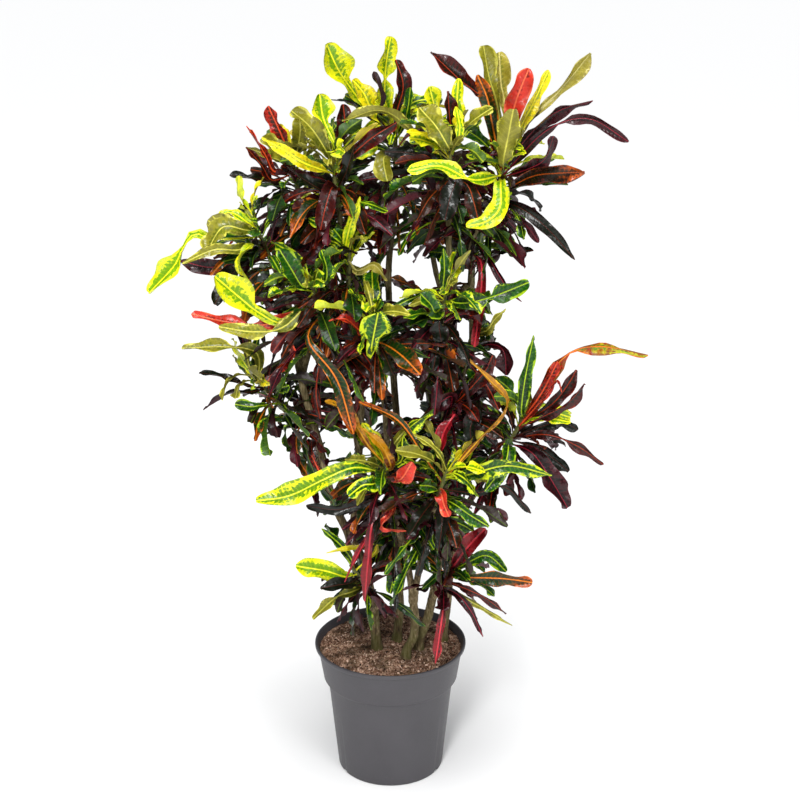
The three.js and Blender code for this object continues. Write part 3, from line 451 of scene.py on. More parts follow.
def on_soil(count, clear):
    """Random places on the soil, as x, y, that stay clear of the pot's wall."""
    radius = (soil_radius - clear) * np.sqrt(rng.random(count))
    angle = 2 * np.pi * rng.random(count)
    return radius * np.cos(angle), radius * np.sin(angle)


def fibre_stacks():
    """Three-sided threads. Each runs along a bent line over the soil and dips into it at both ends."""
    stacks = []
    across = np.array([[0, 1], [0.87, -0.5], [-0.87, -0.5]])
    for x, y in zip(*on_soil(FIBRES, 12)):
        length, heading = rng.uniform(*FIBRE_LENGTHS), rng.uniform(0, 2 * np.pi)
        bend = rng.normal(0, 0.05)
        run = np.linspace(-0.5, 0.5, FIBRE_POINTS) * length
        way = heading + bend * run
        px, py = x + run * np.cos(way), y + run * np.sin(way)
        inside = np.minimum(1, (soil_radius - 2) / np.hypot(px, py))
        px, py = px * inside, py * inside
        arch = rng.uniform(0.3, 3) * (1 - (2 * run / length) ** 2) - 0.3
        pz = soil_height(px, py).mean() * 0.4 + soil_height(px, py) * 0.6 + arch
        size = rng.uniform(*FIBRE_RADII) * np.where(np.abs(run) < length / 2, 1, 0.4)
        middle = np.stack([px, py, pz], -1)[:, None]
        square = np.stack([-np.sin(way), np.cos(way), 0 * way], -1)
        aside = square[:, None] * across[None, :, :1]
        above = np.array([0, 0, 1.0]) * across[None, :, 1:]
        rings = middle + (aside + above) * size[:, None, None]
        stacks.append(np.concatenate([rings, np.full((*rings.shape[:2], 1), rng.random())], -1))
    return stacks


def crumb_stacks():
    """Small lumps and splinters: three uneven six-sided rings each, tilted and half sunk in the soil."""
    stacks = []
    angle = -np.arange(CRUMB_SIDES) * 2 * np.pi / CRUMB_SIDES
    for x, y in zip(*on_soil(CRUMBS, 7)):
        length, width, thick = rng.uniform(0.8, 3), rng.uniform(0.8, 2), rng.uniform(0.6, 2.2)
        uneven = rng.uniform(0.7, 1.2, CRUMB_SIDES)
        flat = np.stack([length * np.cos(angle) * uneven, width * np.sin(angle) * uneven], -1)
        heading, tilt = rng.uniform(0, 2 * np.pi), rng.normal(0, 0.25, 2)
        cosine, sine = np.cos(heading), np.sin(heading)
        flat = flat @ np.array([[cosine, sine], [-sine, cosine]])
        base = soil_height(np.array(x), np.array(y)) + flat @ tilt
        levels = [(0.6, thick), (1, thick * 0.5), (0.8, -thick * 0.4)]
        rings = np.stack([np.column_stack([flat * swell + [x, y], base + lift]) for swell, lift in levels])
        stacks.append(np.concatenate([rings, np.full((*rings.shape[:2], 1), rng.random())], -1))
    return stacks


def write(mesh, name, kind, values, domain="POINT", key="value"):
    """Writes a measure or a colour on a mesh, for its points or for its faces."""
    mesh.attributes.new(name, kind, domain).data.foreach_set(key, np.ascontiguousarray(values).ravel())


def toned_piece(name, stacks, material, sharp):
    """A piece from stacks of rings whose fourth channel is the tone of each point."""
    points, quads, triangles = join_rings(stacks)
    made = piece_of(name, points, quads, triangles, [material], sharp)
    write(made.data, "tone", "FLOAT", points[:, 3])
    return made


soil = piece_of("soil_fill", *join_rings([soil_rings()]), [peat()], 180)
fitted(soil, "potting_soil", "soil")

fibres = toned_piece("coir_fibres", fibre_stacks(), litter("5a4030", "a07c60", "d8bc9c"), 70)
fitted(fibres, "potting_soil")

crumbs = toned_piece("soil_crumbs", crumb_stacks(), litter("1c130d", "86604c", "f0d0b8"), 30)
fitted(crumbs, "potting_soil")

# ---- Woody stems ----
# Five woody stems stand in the soil. Each forks into limbs of grey-brown bark with the low scars of
# shed leaves, mossy at the foot, and every limb ends under a leafy shoot.

ROOT_END = 168
SHOOT_HALF = 40
LEAD_IN = 25  # how far a limb already runs along the axis of its shoot
GOLDEN_ANGLE = 137.5
BARK_AROUND = 16
BARK_STEP = 4
TRUNK_FLARE = [0.3, 13]  # where a trunk meets the soil: share of its radius, and reach up the trunk
FORK_FLARE = [0.35, 14]  # and where a limb forks off
FLARE_HEIGHT = 233
SCAR_STEP = 8.5
SCAR_HEIGHT = 0.75
SCAR_LENGTH = 1.9
SCAR_WIDTH = 3.2

# Each head: the middle of its leafy shoot, the way it leans as [right, back] for 1 up, and how many
# young and old leaves its solids have in a spiral besides the ones that are listed one by one.
HEADS = {
    "top_left": [[-85, -60, 1080], [-0.1, -0.1], 3, 4],
    "top_outer_left": [[-152, 15, 1070], [-0.12, 0], 3, 4],
    "top_middle": [[10, 20, 1120], [0, -0.05], 2, 4],
    "top_front": [[95, -80, 1110], [0, -0.15], 2, 5],
    "top_right": [[175, -40, 1075], [0.25, -0.1], 1, 3],
    "shoulder_left": [[-200, -60, 980], [-0.38, -0.16], 1, 5],
    "mid_left": [[-115, -120, 905], [-0.2, -0.27], 1, 5],
    "side_left": [[-200, -60, 730], [-0.8, -0.2], 2, 4],
    "inner_left": [[-138, 30, 648], [-0.25, 0.1], 0, 4],
    "inner_front": [[-64, -100, 946], [0.05, -0.3], 2, 4],
    "mid_front": [[-22, -150, 857], [-0.05, -0.4], 3, 5],
    "mid_right": [[85, -130, 892], [0.1, -0.45], 2, 5],
    "inner_top": [[138, 20, 955], [0.1, 0.3], 0, 5],
    "inner_right": [[132, -20, 800], [0.2, -0.15], 0, 5],
    "mid_low": [[98, -88, 700], [0.15, -0.4], 0, 3],
    "side_right": [[207, -80, 667], [0.45, -0.2], 2, 4],
    "low_right": [[84, -150, 599], [0.25, -0.4], 2, 4],
    "low_left": [[-2, -130, 603], [-0.15, -0.4], 1, 3],
    "foot_left": [[-47, -90, 404], [-0.6, -0.35], 1, 3],
    "foot_middle": [[50, 0, 465], [0.15, -0.2], 0, 5],
    "foot_right": [[93, -100, 414], [0.35, -0.55], 0, 2],
    "back_top_left": [[-105, 170, 970], [-0.2, 0.35], 3, 5],
    "back_top_middle": [[69, 190, 1017], [0, 0.25], 3, 5],
    "back_right": [[145, 150, 905], [0.05, 0.38], 2, 5],
    "back_middle": [[-19, 200, 835], [0, 0.4], 0, 5],
    "back_left": [[-125, 155, 790], [-0.2, 0.4], 0, 3],
    "back_low_right": [[107, 160, 641], [0.2, 0.45], 0, 4],
    "back_low_left": [[-37, 150, 587], [-0.15, 0.45], 0, 5],
    "back_foot": [[17, 100, 392], [-0.1, 0.6], 0, 5],
}

# Each woody stem: its trunk and limbs as [radius at the foot, radius at the end, places..., head].
STEMS = {
    "left": [
        [9.5, 7.5, [-24, -20, ROOT_END], [-24, -20, 240], [-32, -25, 333], [-49, -30, 413],
         [-66, -35, 453]],
        [7.2, 4.6, [-66, -35, 453], [-97, -40, 530], [-120, -50, 643], [-146, -60, 755], [-160, -52, 860],
         "shoulder_left"],
        [5, 4.2, [-28, -23, 286], [-32, -48, 322], "foot_left"],
        [5.8, 4.4, [-122, -51, 652], [-148, -56, 676], "side_left"],
        [5.8, 4.4, [-146, -60, 755], [-150, -25, 880], [-148, 5, 965], "top_outer_left"],
        [5.8, 4.6, [-146, -60, 755], [-112, -30, 870], [-88, -45, 970], "top_left"],
        [6.5, 5, [-66, -35, 453], [-56, -38, 556], [-50, -55, 650], [-49, -70, 738], [-80, -88, 810],
         "mid_left"],
        [5.2, 4.4, [-49, -70, 738], [-56, -84, 830], "inner_front"],
        [5.2, 4.2, [-97, -40, 530], [-118, -5, 568], "inner_left"],
    ],
    "middle": [
        [9, 7, [12, 10, ROOT_END], [12, 10, 240], [17, 10, 296], [15, 10, 345]],
        [7, 4.8, [15, 10, 345], [20, 25, 450], [15, 30, 600], [5, 28, 750], [-2, 25, 900], [6, 20, 1000],
         "top_middle"],
        [5.5, 4.4, [15, 10, 330], [27, 10, 378], "foot_middle"],
        [6, 5, [15, 10, 345], [-24, 45, 410], [-35, 95, 480], "back_low_left"],
        [5.5, 4.6, [-33, 84, 465], [-62, 120, 600], [-40, 160, 720], "back_middle"],
        [5, 4.6, [-62, 120, 600], [-92, 148, 720], [-100, 152, 850], "back_top_left"],
        [5, 4.4, [-62, 120, 600], [-98, 136, 690], "back_left"],
        [5.5, 4.4, [15, 10, 296], [14, 45, 325], "back_foot"],
    ],
    "front": [
        [8.5, 7, [28, -50, ROOT_END], [28, -50, 240], [40, -55, 275], [43, -60, 312], [40, -65, 350]],
        [6, 4.6, [40, -65, 350], [30, -80, 430], [15, -100, 500], "low_left"],
        [6, 4.6, [40, -65, 350], [55, -95, 460], [66, -118, 515], "low_right"],
        [5.5, 4.6, [22, -91, 468], [0, -72, 600], [-8, -98, 720], "mid_front"],
    ],
    "right": [
        [9, 7.5, [50, -18, ROOT_END], [50, -18, 240], [65, -26, 297], [78, -38, 365]],
        [7.5, 5.6, [78, -38, 365], [92, -42, 480], [94, -44, 600], [92, -45, 720], [97, -50, 850],
         [101, -58, 905]],
        [5.2, 4.6, [101, -58, 905], [112, -50, 945], [140, -42, 1000], "top_right"],
        [5.2, 4.6, [101, -58, 905], [95, -60, 985], "top_front"],
        [5, 4.4, [93, -44, 740], [88, -75, 810], "mid_right"],
        [4.8, 4.4, [97, -50, 850], [120, -15, 895], "inner_top"],
        [5, 4.4, [94, -44, 650], [112, -20, 715], "inner_right"],
        [5, 4.4, [94, -44, 590], [96, -62, 625], "mid_low"],
        [5.2, 4.4, [74, -35, 345], [82, -60, 362], "foot_right"],
    ],
    "outer": [
        [8.5, 7, [95, 20, ROOT_END], [95, 20, 240], [102, 12, 321], [106, 10, 400]],
        [6.2, 4.8, [106, 10, 400], [124, 0, 480], [156, -35, 560], "side_right"],
        [6, 5, [106, 10, 400], [112, 55, 500], "back_low_right"],
        [5.4, 4.8, [112, 50, 490], [140, 72, 640], [142, 104, 770], "back_right"],
        [5.2, 4.6, [140, 72, 640], [114, 118, 770], [80, 150, 880], "back_top_middle"],
    ],
}


def lerp(a, b, share):
    """The number or place at a share of the way from a to b."""
    return a + (b - a) * share


class Head:
    """A leafy shoot, by its number in the table, its middle, its axis and its counts of leaves."""

    def __init__(self, index, name, middle, lean, young, old):
        self.index = index
        self.name = name
        self.middle = np.array(middle, float)
        self.axis = unit(np.array([*lean, 1.0]))
        self.young = young
        self.old = old

    def at(self, height):
        """The place on the shoot's axis at a height over its middle."""
        return self.middle + self.axis * height


heads = {name: Head(index, name, *row) for index, (name, row) in enumerate(HEADS.items())}


def curve_through(places):
    """A smooth curve through places, and its length. Between two of them it is the cubic whose slope at
    each is half the step from the place before to the place after. The curve is a function of shares
    of the length that gives the places there and the directions in which it runs."""
    places = np.array(places, float)
    ends = np.vstack([2 * places[0] - places[1], places, 2 * places[-1] - places[-2]])

    def at(t):
        t = np.clip(t, 0, 1) * (len(places) - 1)
        i = np.minimum(t.astype(int), len(places) - 2)
        f = (t - i)[:, None]
        a, b, c, d = ends[i], ends[i + 1], ends[i + 2], ends[i + 3]
        m, n = (c - a) / 2, (d - b) / 2
        return b + m * f + (3 * (c - b) - 2 * m - n) * f**2 + (2 * (b - c) + m + n) * f**3

    steps = np.linspace(0, 1, 201)
    lengths = np.append(0, np.cumsum(np.linalg.norm(np.diff(at(steps), axis=0), axis=1)))

    def curve(shares):
        t = np.interp(np.asarray(shares) * lengths[-1], lengths, steps)
        return at(t), unit(at(t + 1e-4) - at(t - 1e-4))

    return curve, lengths[-1]


def limb_curve(places):
    """The curve of a limb, which runs straight into the shoot that it carries."""
    points = [place for place in places if not isinstance(place, str)]
    if isinstance(places[-1], str):
        head = heads[places[-1]]
        points += [head.at(-SHOOT_HALF - LEAD_IN), head.at(-SHOOT_HALF)]
    return curve_through(points)


def bark_rings(foot_radius, end_radius, places, seed, trunk):
    """A tube along a limb. Its radius flares by exp(-d^2) with the distance from the soil, for a trunk,
    or from its fork. It has five and three shallow ridges that wind slowly, and carries the scars as
    low oval bumps in a spiral, each exp(-u^2 - v^2)."""
    curve, length = limb_curve(places)
    count = max(6, int(length / BARK_STEP))
    share = np.linspace(0, 1, count)
    middle, along = curve(share)
    aside = unit(np.cross(along, [0, 1, 0]))
    ahead = np.cross(along, aside)
    angle = np.arange(BARK_AROUND) * 2 * np.pi / BARK_AROUND
    run = share * length
    radius = lerp(foot_radius, end_radius, share)
    flare, reach = TRUNK_FLARE if trunk else FORK_FLARE
    distance = middle[:, 2] - FLARE_HEIGHT if trunk else run
    radius = (radius * (1 + flare * np.exp(-((distance / reach) ** 2))))[:, None]
    run = run[:, None]
    scars = np.arange(int(length / SCAR_STEP))
    u = (run - (scars + 0.5) * SCAR_STEP) / SCAR_LENGTH
    turn = (angle[:, None] - np.radians(GOLDEN_ANGLE * scars + seed * 40) + np.pi) % (2 * np.pi)
    v = (turn - np.pi) * foot_radius / SCAR_WIDTH
    bumps = np.einsum("rs,as->ra", np.exp(-(u**2)), np.exp(-(v**2)))
    ridges = 0.35 * np.sin(5 * angle + 0.02 * run + seed) + 0.3 * np.sin(3 * angle - 0.05 * run)
    size = radius + SCAR_HEIGHT * bumps + ridges * 0.06 * radius
    spokes = np.cos(angle)[None, :, None] * aside[:, None] + np.sin(angle)[None, :, None] * ahead[:, None]
    rings = middle[:, None] + size[..., None] * spokes
    return np.concatenate([rings, bumps[..., None]], -1)


def bark():
    """Grey-brown bark with fine cracks, paler scars, and moss on the foot of the stem."""
    material, shader, places = finish_of("Bark", Roughness=0.85, Specular_IOR_Level=0.25)
    scar = places.measure("tone", 2)
    cracks = places.stretched((1, 1, 0.18)).noise(330, 5, 0.65)
    patches = places.noise(45, 4)
    height = places.parts()[2]
    wood = (cracks * 0.65 + patches * 0.35).ramp((0.34, "241b10"), (0.5, "6c5c40"), (0.66, "b0a07c"))
    scarred = (scar.step(0.2, 0.7) * 0.45).mix(wood, colour("a39276"))
    low = (1 - height.step(0.24, 0.38)) * patches.step(0.38, 0.56)
    mossy = (low * 0.75).mix(scarred, colour("4c4c20"))
    high = height.step(0.5, 0.95) * 0.4
    green = high.mix(mossy, colour("5a5a34"))
    feed(shader, places, cracks, 0.0016, Base_Color=green)
    return material


bark_finish = bark()
limb_under = {}  # the curve of the limb under each head, and its length
for number, (stem, limbs) in enumerate(STEMS.items()):
    stacks = []
    for i, (foot_radius, end_radius, *places) in enumerate(limbs):
        stacks.append(bark_rings(foot_radius, end_radius, places, 7 * number + i, i == 0))
        if isinstance(places[-1], str):
            limb_under[places[-1]] = limb_curve(places)
    fitted(toned_piece(f"bark_{stem}", stacks, bark_finish, 180), "bark", f"stem_{stem}")

# ---- Leafy heads ----
# At the end of each limb a green shoot carries a rosette of leathery leaves, long, twisted and waved:
# yellow and lime where they are young, and dark green to burgundy with red ribs as they age.

PETIOLE = 3.2
RIB = 1.2
RIB_ROOT = 1.4
RIB_REACH = 1.3
BLADE = 0.7
FOLD = 0.3
WAVE = 0.092
SPIRAL_LENGTHS = [98, 142]
SPIRAL_WIDTHS = [20, 33]
SPIRAL_ANGLES = [24, 70]  # from the shoot's axis, for its youngest and its oldest leaves
SPIRAL_BENDS = [35, 75]
SPIRAL_WAYS = 10
HEAD_TURN = 50  # by which each head's spiral starts farther round than the one before
YOUNG_REACH = [9, 38]  # heights on the shoot
OLD_REACH = [-36, -3]
ONLY_REACH = [-34, 36]  # where a head has no young leaves
NEARER = [0, 12, -12, 24, -24, 36, -36, 50, -50]
TOWARDS_FRONT = np.array([0, -0.944, 0.329])
YOUNG_FROM = 3
SHOOT_RADII = [4.5, 2.6]
SHOOT_ROWS = 18
SHOOT_AROUND = 10
LEAF_ROWS = 26
LAST_ROW = 0.997
UPPER_SHARES = [-1, -0.75, -0.42, -0.1, 0, 0.1, 0.42, 0.75, 1]
VEIN_STEP = 7.5
SAME_TIP = 0.02
BLADE_SHADES = ["blade", "base", "island", "rib", "under"]

# The leaves that stand out, by head: colours, form, width, height on the shoot from its middle, turn
# of the blade away from the front at its root and at its tip in degrees, and the places it passes
# through up to its tip.
PLACED_LEAVES = {
    "top_left": [
        ["olive", "strap", 32, 26, -20, 35, [-100, -84, 1140], [-122, -92, 1174], [-150, -92, 1198]],
        ["gold", "lance", 20, 14, 30, -30, [-132, -112, 1122], [-158, -120, 1142], [-194, -122, 1162]],
        ["lime", "spoon", 36, 34, 0, 20, [-84, -62, 1138], [-102, -52, 1178], [-108, -50, 1218]],
        ["darkred", "strap", 24, 37, -20, 10, [-78, -50, 1140], [-70, -40, 1170], [-72, -36, 1200]],
        ["darkred", "strap", 24, 10, -30, 40, [-60, -92, 1126], [-26, -100, 1158], [12, -100, 1182]],
        ["dark", "strap", 20, -14, 20, -40, [-68, -102, 1100], [-60, -116, 1124], [-52, -122, 1150]],
        ["darkred", "strap", 28, -20, 10, -10, [-88, -108, 1082], [-98, -124, 1054], [-106, -130, 1020]],
        ["brown", "strap", 24, -24, 0, 20, [-64, -92, 1068], [-48, -108, 1044], [-36, -114, 1010]],
        ["dark", "lance", 18, -24, 0, 60, [-106, -104, 1078], [-136, -118, 1100], [-156, -122, 1118]],
    ],
    "top_outer_left": [
        ["red", "strap", 24, 28, 0, -40, [-158, 10, 1106], [-174, 0, 1150], [-192, 0, 1192]],
        ["olive", "strap", 28, 34, 0, 20, [-150, -4, 1112], [-142, -14, 1150], [-142, -16, 1184]],
        ["olive", "strap", 32, 16, 0, 30, [-162, -8, 1102], [-182, -18, 1126], [-202, -24, 1146]],
        ["gold", "strap", 24, 22, 0, 20, [-168, -6, 1122], [-172, -12, 1148], [-182, -14, 1172]],
        ["darkred", "strap", 15, 12, 0, 60, [-188, -10, 1074], [-204, -20, 1100], [-228, -24, 1130]],
        ["dark", "strap", 20, -10, 20, 60, [-196, 0, 1070], [-220, -16, 1078], [-256, -20, 1084]],
        ["red", "lance", 14, 20, 0, 80, [-186, 10, 1084], [-200, 4, 1112], [-228, 0, 1160]],
    ],
    "top_middle": [
        ["lime", "spoon", 48, 30, 0, 20, [-38, 10, 1190], [-62, 4, 1220], [-82, -4, 1252],
         [-98, -12, 1290]],
        ["gold", "strap", 30, 24, 0, 30, [-28, -4, 1188], [-40, -8, 1212], [-58, -10, 1234]],
        ["lime", "broken", 32, 36, 0, 30, [-6, 22, 1194], [-6, 22, 1246], [2, 22, 1298]],
        ["dark", "lance", 15, 10, 20, 90, [-30, 42, 1164], [-62, 52, 1188], [-96, 52, 1194]],
        ["dark", "strap", 16, 15, 0, 140, [-16, -22, 1176], [-12, -32, 1212], [-24, -32, 1250]],
        ["darkred", "strap", 24, 22, 0, 30, [12, -2, 1182], [22, -6, 1224], [10, 0, 1264]],
        ["green", "strap", 17, 12, 0, -30, [22, -12, 1162], [30, -22, 1192], [34, -22, 1224]],
        ["olive", "spoon", 32, -14, 0, 20, [-6, -60, 1122], [-8, -78, 1114], [-2, -90, 1088]],
    ],
    "top_front": [
        ["olive", "strap", 40, 26, -15, 25, [90, -112, 1148], [72, -118, 1178], [46, -112, 1206]],
        ["lime", "spoon", 27, 34, 0, 20, [84, -72, 1162], [72, -70, 1196], [62, -70, 1232]],
        ["lime", "strap", 15, 30, 0, 40, [106, -102, 1154], [108, -108, 1178], [102, -102, 1206]],
        ["lime", "strap", 20, 38, 60, 0, [116, -62, 1162], [106, -56, 1200], [108, -52, 1242]],
        ["darkred", "strap", 22, 6, 0, 40, [100, -66, 1142], [94, -66, 1180], [90, -66, 1222]],
        ["dark", "strap", 30, -20, 20, 0, [104, -122, 1100], [94, -136, 1072], [86, -142, 1038]],
        ["brown", "strap", 26, -24, 0, 30, [120, -108, 1088], [132, -124, 1060], [140, -130, 1026]],
        ["olive", "strap", 19, 10, 160, 120, [50, -72, 1152], [-8, -90, 1198], [-72, -102, 1184]],
    ],
    "top_right": [
        ["darkred", "broken", 34, 12, 10, 40, [156, -22, 1192], [108, -30, 1240], [64, -32, 1282]],
        ["olive", "spoon", 32, 34, 0, 30, [170, -30, 1196], [156, -32, 1240], [146, -32, 1290]],
        ["tan", "spoon", 34, 39, 20, 0, [182, -10, 1196], [176, -6, 1226], [172, -4, 1274]],
        ["darkorange", "strap", 24, 16, 20, -20, [160, -62, 1176], [152, -66, 1214], [136, -70, 1250]],
        ["coral", "strap", 33, 36, -25, 20, [190, -50, 1168], [198, -56, 1210], [216, -56, 1258]],
        ["olive", "strap", 36, 24, 170, 190, [178, -82, 1120], [184, -96, 1162], [190, -102, 1202]],
        ["gold", "strap", 20, 30, 0, 40, [208, -20, 1160], [228, -16, 1200], [250, -10, 1250]],
        ["tan", "spoon", 27, 20, 0, 50, [224, 0, 1168], [274, 10, 1218], [318, 10, 1274]],
        ["maroon", "lance", 24, 18, 40, 60, [214, -60, 1150], [260, -72, 1194], [314, -82, 1212]],
        ["maroon", "broken", 20, 10, 20, 40, [240, -92, 1166], [304, -102, 1188], [368, -112, 1154]],
        ["maroon", "strap", 26, 9, 0, 60, [220, -92, 1110], [242, -102, 1128], [252, -104, 1162]],
        ["fire", "strap", 28, -20, 10, 30, [220, -82, 1092], [258, -102, 1100], [298, -112, 1102]],
        ["brown", "strap", 24, -14, 0, 20, [176, -20, 1100], [154, -14, 1114], [126, -10, 1120]],
        ["dark", "lance", 20, -28, 20, 0, [204, -82, 1046], [246, -102, 1018], [292, -112, 968]],
        ["lime", "strap", 30, 9, 0, 20, [172, -118, 1086], [170, -138, 1056], [150, -144, 1036],
         [118, -146, 1028]],
        ["lime", "broken", 26, 14, -10, 30, [128, -122, 1096], [78, -134, 1118], [28, -138, 1110]],
    ],
    "shoulder_left": [
        ["lime", "spoon", 36, 14, 20, 30, [-276, -82, 994], [-306, -88, 1004], [-326, -92, 980],
         [-340, -96, 954], [-382, -98, 910]],
        ["olive", "strap", 38, 22, -10, 40, [-228, -92, 1012], [-260, -102, 1018], [-286, -104, 980]],
        ["olive", "lance", 18, 9, 30, 0, [-234, -112, 984], [-272, -122, 986], [-322, -124, 964]],
        ["maroon", "strap", 26, -18, 20, -20, [-238, -82, 958], [-282, -88, 950], [-330, -92, 962]],
        ["lime", "lance", 16, 30, 0, 60, [-220, -72, 1016], [-248, -72, 1034], [-278, -74, 1028]],
        ["lime", "strap", 16, 36, 0, 170, [-216, -62, 1028], [-236, -62, 1060], [-236, -62, 1092]],
        ["lime", "strap", 17, 10, 0, 90, [-222, -118, 986], [-232, -132, 966], [-212, -134, 930]],
    ],
    "mid_left": [
        ["lime", "spoon", 48, 16, -10, 20, [-162, -152, 878], [-200, -158, 894], [-230, -162, 920],
         [-268, -160, 954]],
        ["coral", "broken", 25, -8, 0, 40, [-190, -142, 872], [-252, -146, 876], [-310, -146, 890]],
        ["olive", "broken", 25, 9, 20, 0, [-162, -162, 874], [-208, -172, 868], [-262, -172, 876]],
        ["green", "strap", 32, 28, -10, 20, [-134, -152, 936], [-150, -162, 966], [-168, -164, 998]],
        ["darkorange", "strap", 25, -28, 20, -10, [-126, -162, 852], [-82, -182, 794], [-56, -192, 706]],
        ["green", "strap", 20, 36, 10, 40, [-100, -150, 942], [-96, -158, 966], [-104, -160, 996]],
    ],
    "side_left": [
        ["olive", "broken", 24, 26, 0, 40, [-214, -92, 808], [-262, -102, 822], [-334, -104, 820]],
        ["dark", "strap", 14, 10, 20, 60, [-234, -92, 754], [-272, -96, 770], [-308, -102, 778]],
        ["dark", "lance", 14, 9, 0, 140, [-234, -102, 744], [-264, -108, 744], [-304, -112, 718]],
        ["green", "spoon", 20, -26, 0, 20, [-208, -112, 726], [-224, -118, 726], [-250, -118, 730]],
        ["red", "lance", 20, 14, 0, 120, [-180, -122, 790], [-156, -134, 824], [-182, -136, 850]],
    ],
    "inner_left": [
        ["dark", "lance", 12, -10, 30, 60, [-170, -4, 648], [-190, -16, 648], [-214, -20, 640]],
        ["red", "strap", 14, -20, 0, 30, [-142, -36, 636], [-128, -52, 612], [-110, -58, 574]],
    ],
    "inner_front": [
        ["lime", "lance", 17, 34, 0, 30, [-68, -110, 984], [-60, -112, 1022], [-44, -112, 1066]],
        ["tan", "strap", 17, 20, 0, 60, [-48, -152, 962], [-22, -164, 974], [-2, -164, 948]],
        ["dark", "strap", 17, 9, 20, 70, [-86, -140, 970], [-76, -152, 998], [-48, -154, 992]],
    ],
    "mid_front": [
        ["rimmed", "spoon", 46, 18, 0, 10, [-26, -182, 842], [-26, -206, 858], [-16, -222, 914]],
        ["red", "lance", 17, 10, 0, 60, [-44, -190, 876], [-66, -204, 898], [-92, -206, 896]],
    ],
    "mid_right": [
        ["green", "broken", 32, 18, -10, 20, [118, -162, 912], [160, -168, 924], [216, -170, 948]],
        ["green", "lance", 17, 34, 0, 20, [84, -142, 928], [86, -142, 960], [84, -142, 994]],
        ["green", "strap", 27, 9, 0, 30, [72, -172, 900], [64, -184, 916], [48, -188, 934]],
        ["dark", "spoon", 30, -18, 0, 20, [80, -182, 892], [78, -196, 886], [82, -204, 864]],
    ],
    "inner_top": [
        ["crimson", "strap", 19, -10, 0, 30, [148, -62, 948], [146, -82, 892], [138, -84, 816]],
        ["maroon", "lance", 12, 14, 0, 50, [164, -62, 952], [188, -72, 916], [214, -74, 890]],
    ],
    "inner_right": [
        ["olive", "lance", 16, 20, 0, 50, [158, -62, 838], [170, -72, 860], [188, -74, 878]],
        ["maroon", "spoon", 28, -6, 0, 30, [168, -62, 814], [186, -84, 808], [190, -90, 770]],
    ],
    "side_right": [
        ["green", "lance", 22, 32, -10, 30, [214, -112, 718], [218, -118, 774], [230, -114, 846]],
        ["rainbow", "broken", 24, 20, 10, 60, [246, -92, 746], [286, -102, 810], [342, -104, 824],
         [416, -108, 810]],
        ["red", "strap", 20, 26, 0, 30, [246, -96, 740], [260, -104, 774], [270, -108, 800]],
        ["darkred", "strap", 22, 15, 0, 20, [264, -96, 722], [288, -100, 756], [302, -102, 784]],
        ["dark", "strap", 22, -16, 0, 20, [242, -98, 648], [270, -102, 630], [296, -104, 608]],
        ["red", "lance", 12, 10, 0, 90, [244, -122, 738], [268, -132, 776], [276, -134, 756]],
        ["darkred", "strap", 22, 9, 30, 60, [254, -122, 714], [286, -134, 738], [312, -136, 772]],
        ["dark", "strap", 20, -8, 0, 40, [260, -92, 686], [286, -92, 690], [310, -90, 676]],
        ["darkred", "broken", 18, -12, 10, 40, [256, -112, 676], [306, -122, 660], [350, -124, 628]],
        ["maroon", "strap", 34, -22, 0, -25, [232, -122, 648], [262, -134, 608], [292, -136, 556]],
        ["green", "strap", 24, -30, 0, -30, [192, -132, 664], [184, -152, 640], [152, -156, 596]],
    ],
    "low_right": [
        ["rimmed", "lance", 28, 22, 0, 30, [128, -192, 638], [188, -204, 658], [258, -206, 642]],
        ["darkorange", "strap", 12, 10, 0, 30, [56, -172, 660], [14, -184, 726], [-48, -186, 758]],
        ["amber", "lance", 15, 16, 10, 150, [136, -172, 682], [186, -174, 748], [156, -172, 792],
         [110, -172, 836]],
        ["coral", "strap", 20, -12, 0, 40, [84, -192, 602], [88, -204, 590], [96, -208, 572]],
        ["green", "strap", 22, -20, 0, 30, [106, -192, 586], [128, -204, 574], [160, -206, 554]],
        ["dark", "broken", 14, -4, 0, 40, [140, -182, 602], [186, -188, 614], [230, -190, 568]],
    ],
    "low_left": [
        ["yellowtip", "strap", 36, 14, 0, 20, [-54, -192, 650], [-104, -204, 634], [-158, -208, 608],
         [-212, -210, 600]],
        ["rimmed", "strap", 26, 9, 0, 30, [-24, -202, 626], [-42, -214, 628], [-64, -216, 610]],
        ["dark", "strap", 17, -14, 20, -20, [-28, -172, 586], [-80, -184, 574], [-134, -186, 582]],
        ["amber", "strap", 18, 36, 0, 40, [-34, -152, 672], [-68, -162, 732], [-102, -164, 752]],
        ["rimmed", "broken", 24, 30, 0, 60, [20, -162, 650], [24, -166, 698], [72, -166, 740]],
        ["amber", "lance", 17, 24, 0, 40, [2, -172, 646], [-14, -178, 682], [-44, -178, 712]],
        ["coral", "spoon", 30, 9, 0, 20, [14, -190, 628], [22, -206, 640], [36, -214, 668]],
        ["coral", "lance", 12, -22, 0, 80, [6, -182, 570], [-12, -194, 548], [32, -198, 542]],
        ["crimson", "lance", 11, -28, 0, 60, [-4, -162, 560], [-38, -172, 514], [-74, -174, 440]],
        ["crimson", "strap", 17, -18, 0, 30, [-26, -182, 554], [-34, -194, 490], [-40, -196, 416]],
    ],
    "foot_middle": [
        ["green", "strap", 24, 2, 0, 20, [18, -46, 420], [8, -54, 394], [0, -58, 362]],
        ["deepgreen", "strap", 20, -24, 0, 20, [6, -54, 450], [-6, -62, 434], [-18, -64, 414]],
    ],
    "foot_left": [
        ["green", "lance", 15, 32, 0, 30, [-64, -102, 446], [-82, -108, 476], [-114, -110, 508]],
        ["gold", "lance", 10, 24, 0, 40, [-22, -112, 472], [-62, -128, 480], [-106, -134, 474]],
        ["lime", "strap", 34, 16, 0, 20, [-74, -132, 430], [-106, -144, 446], [-156, -146, 456]],
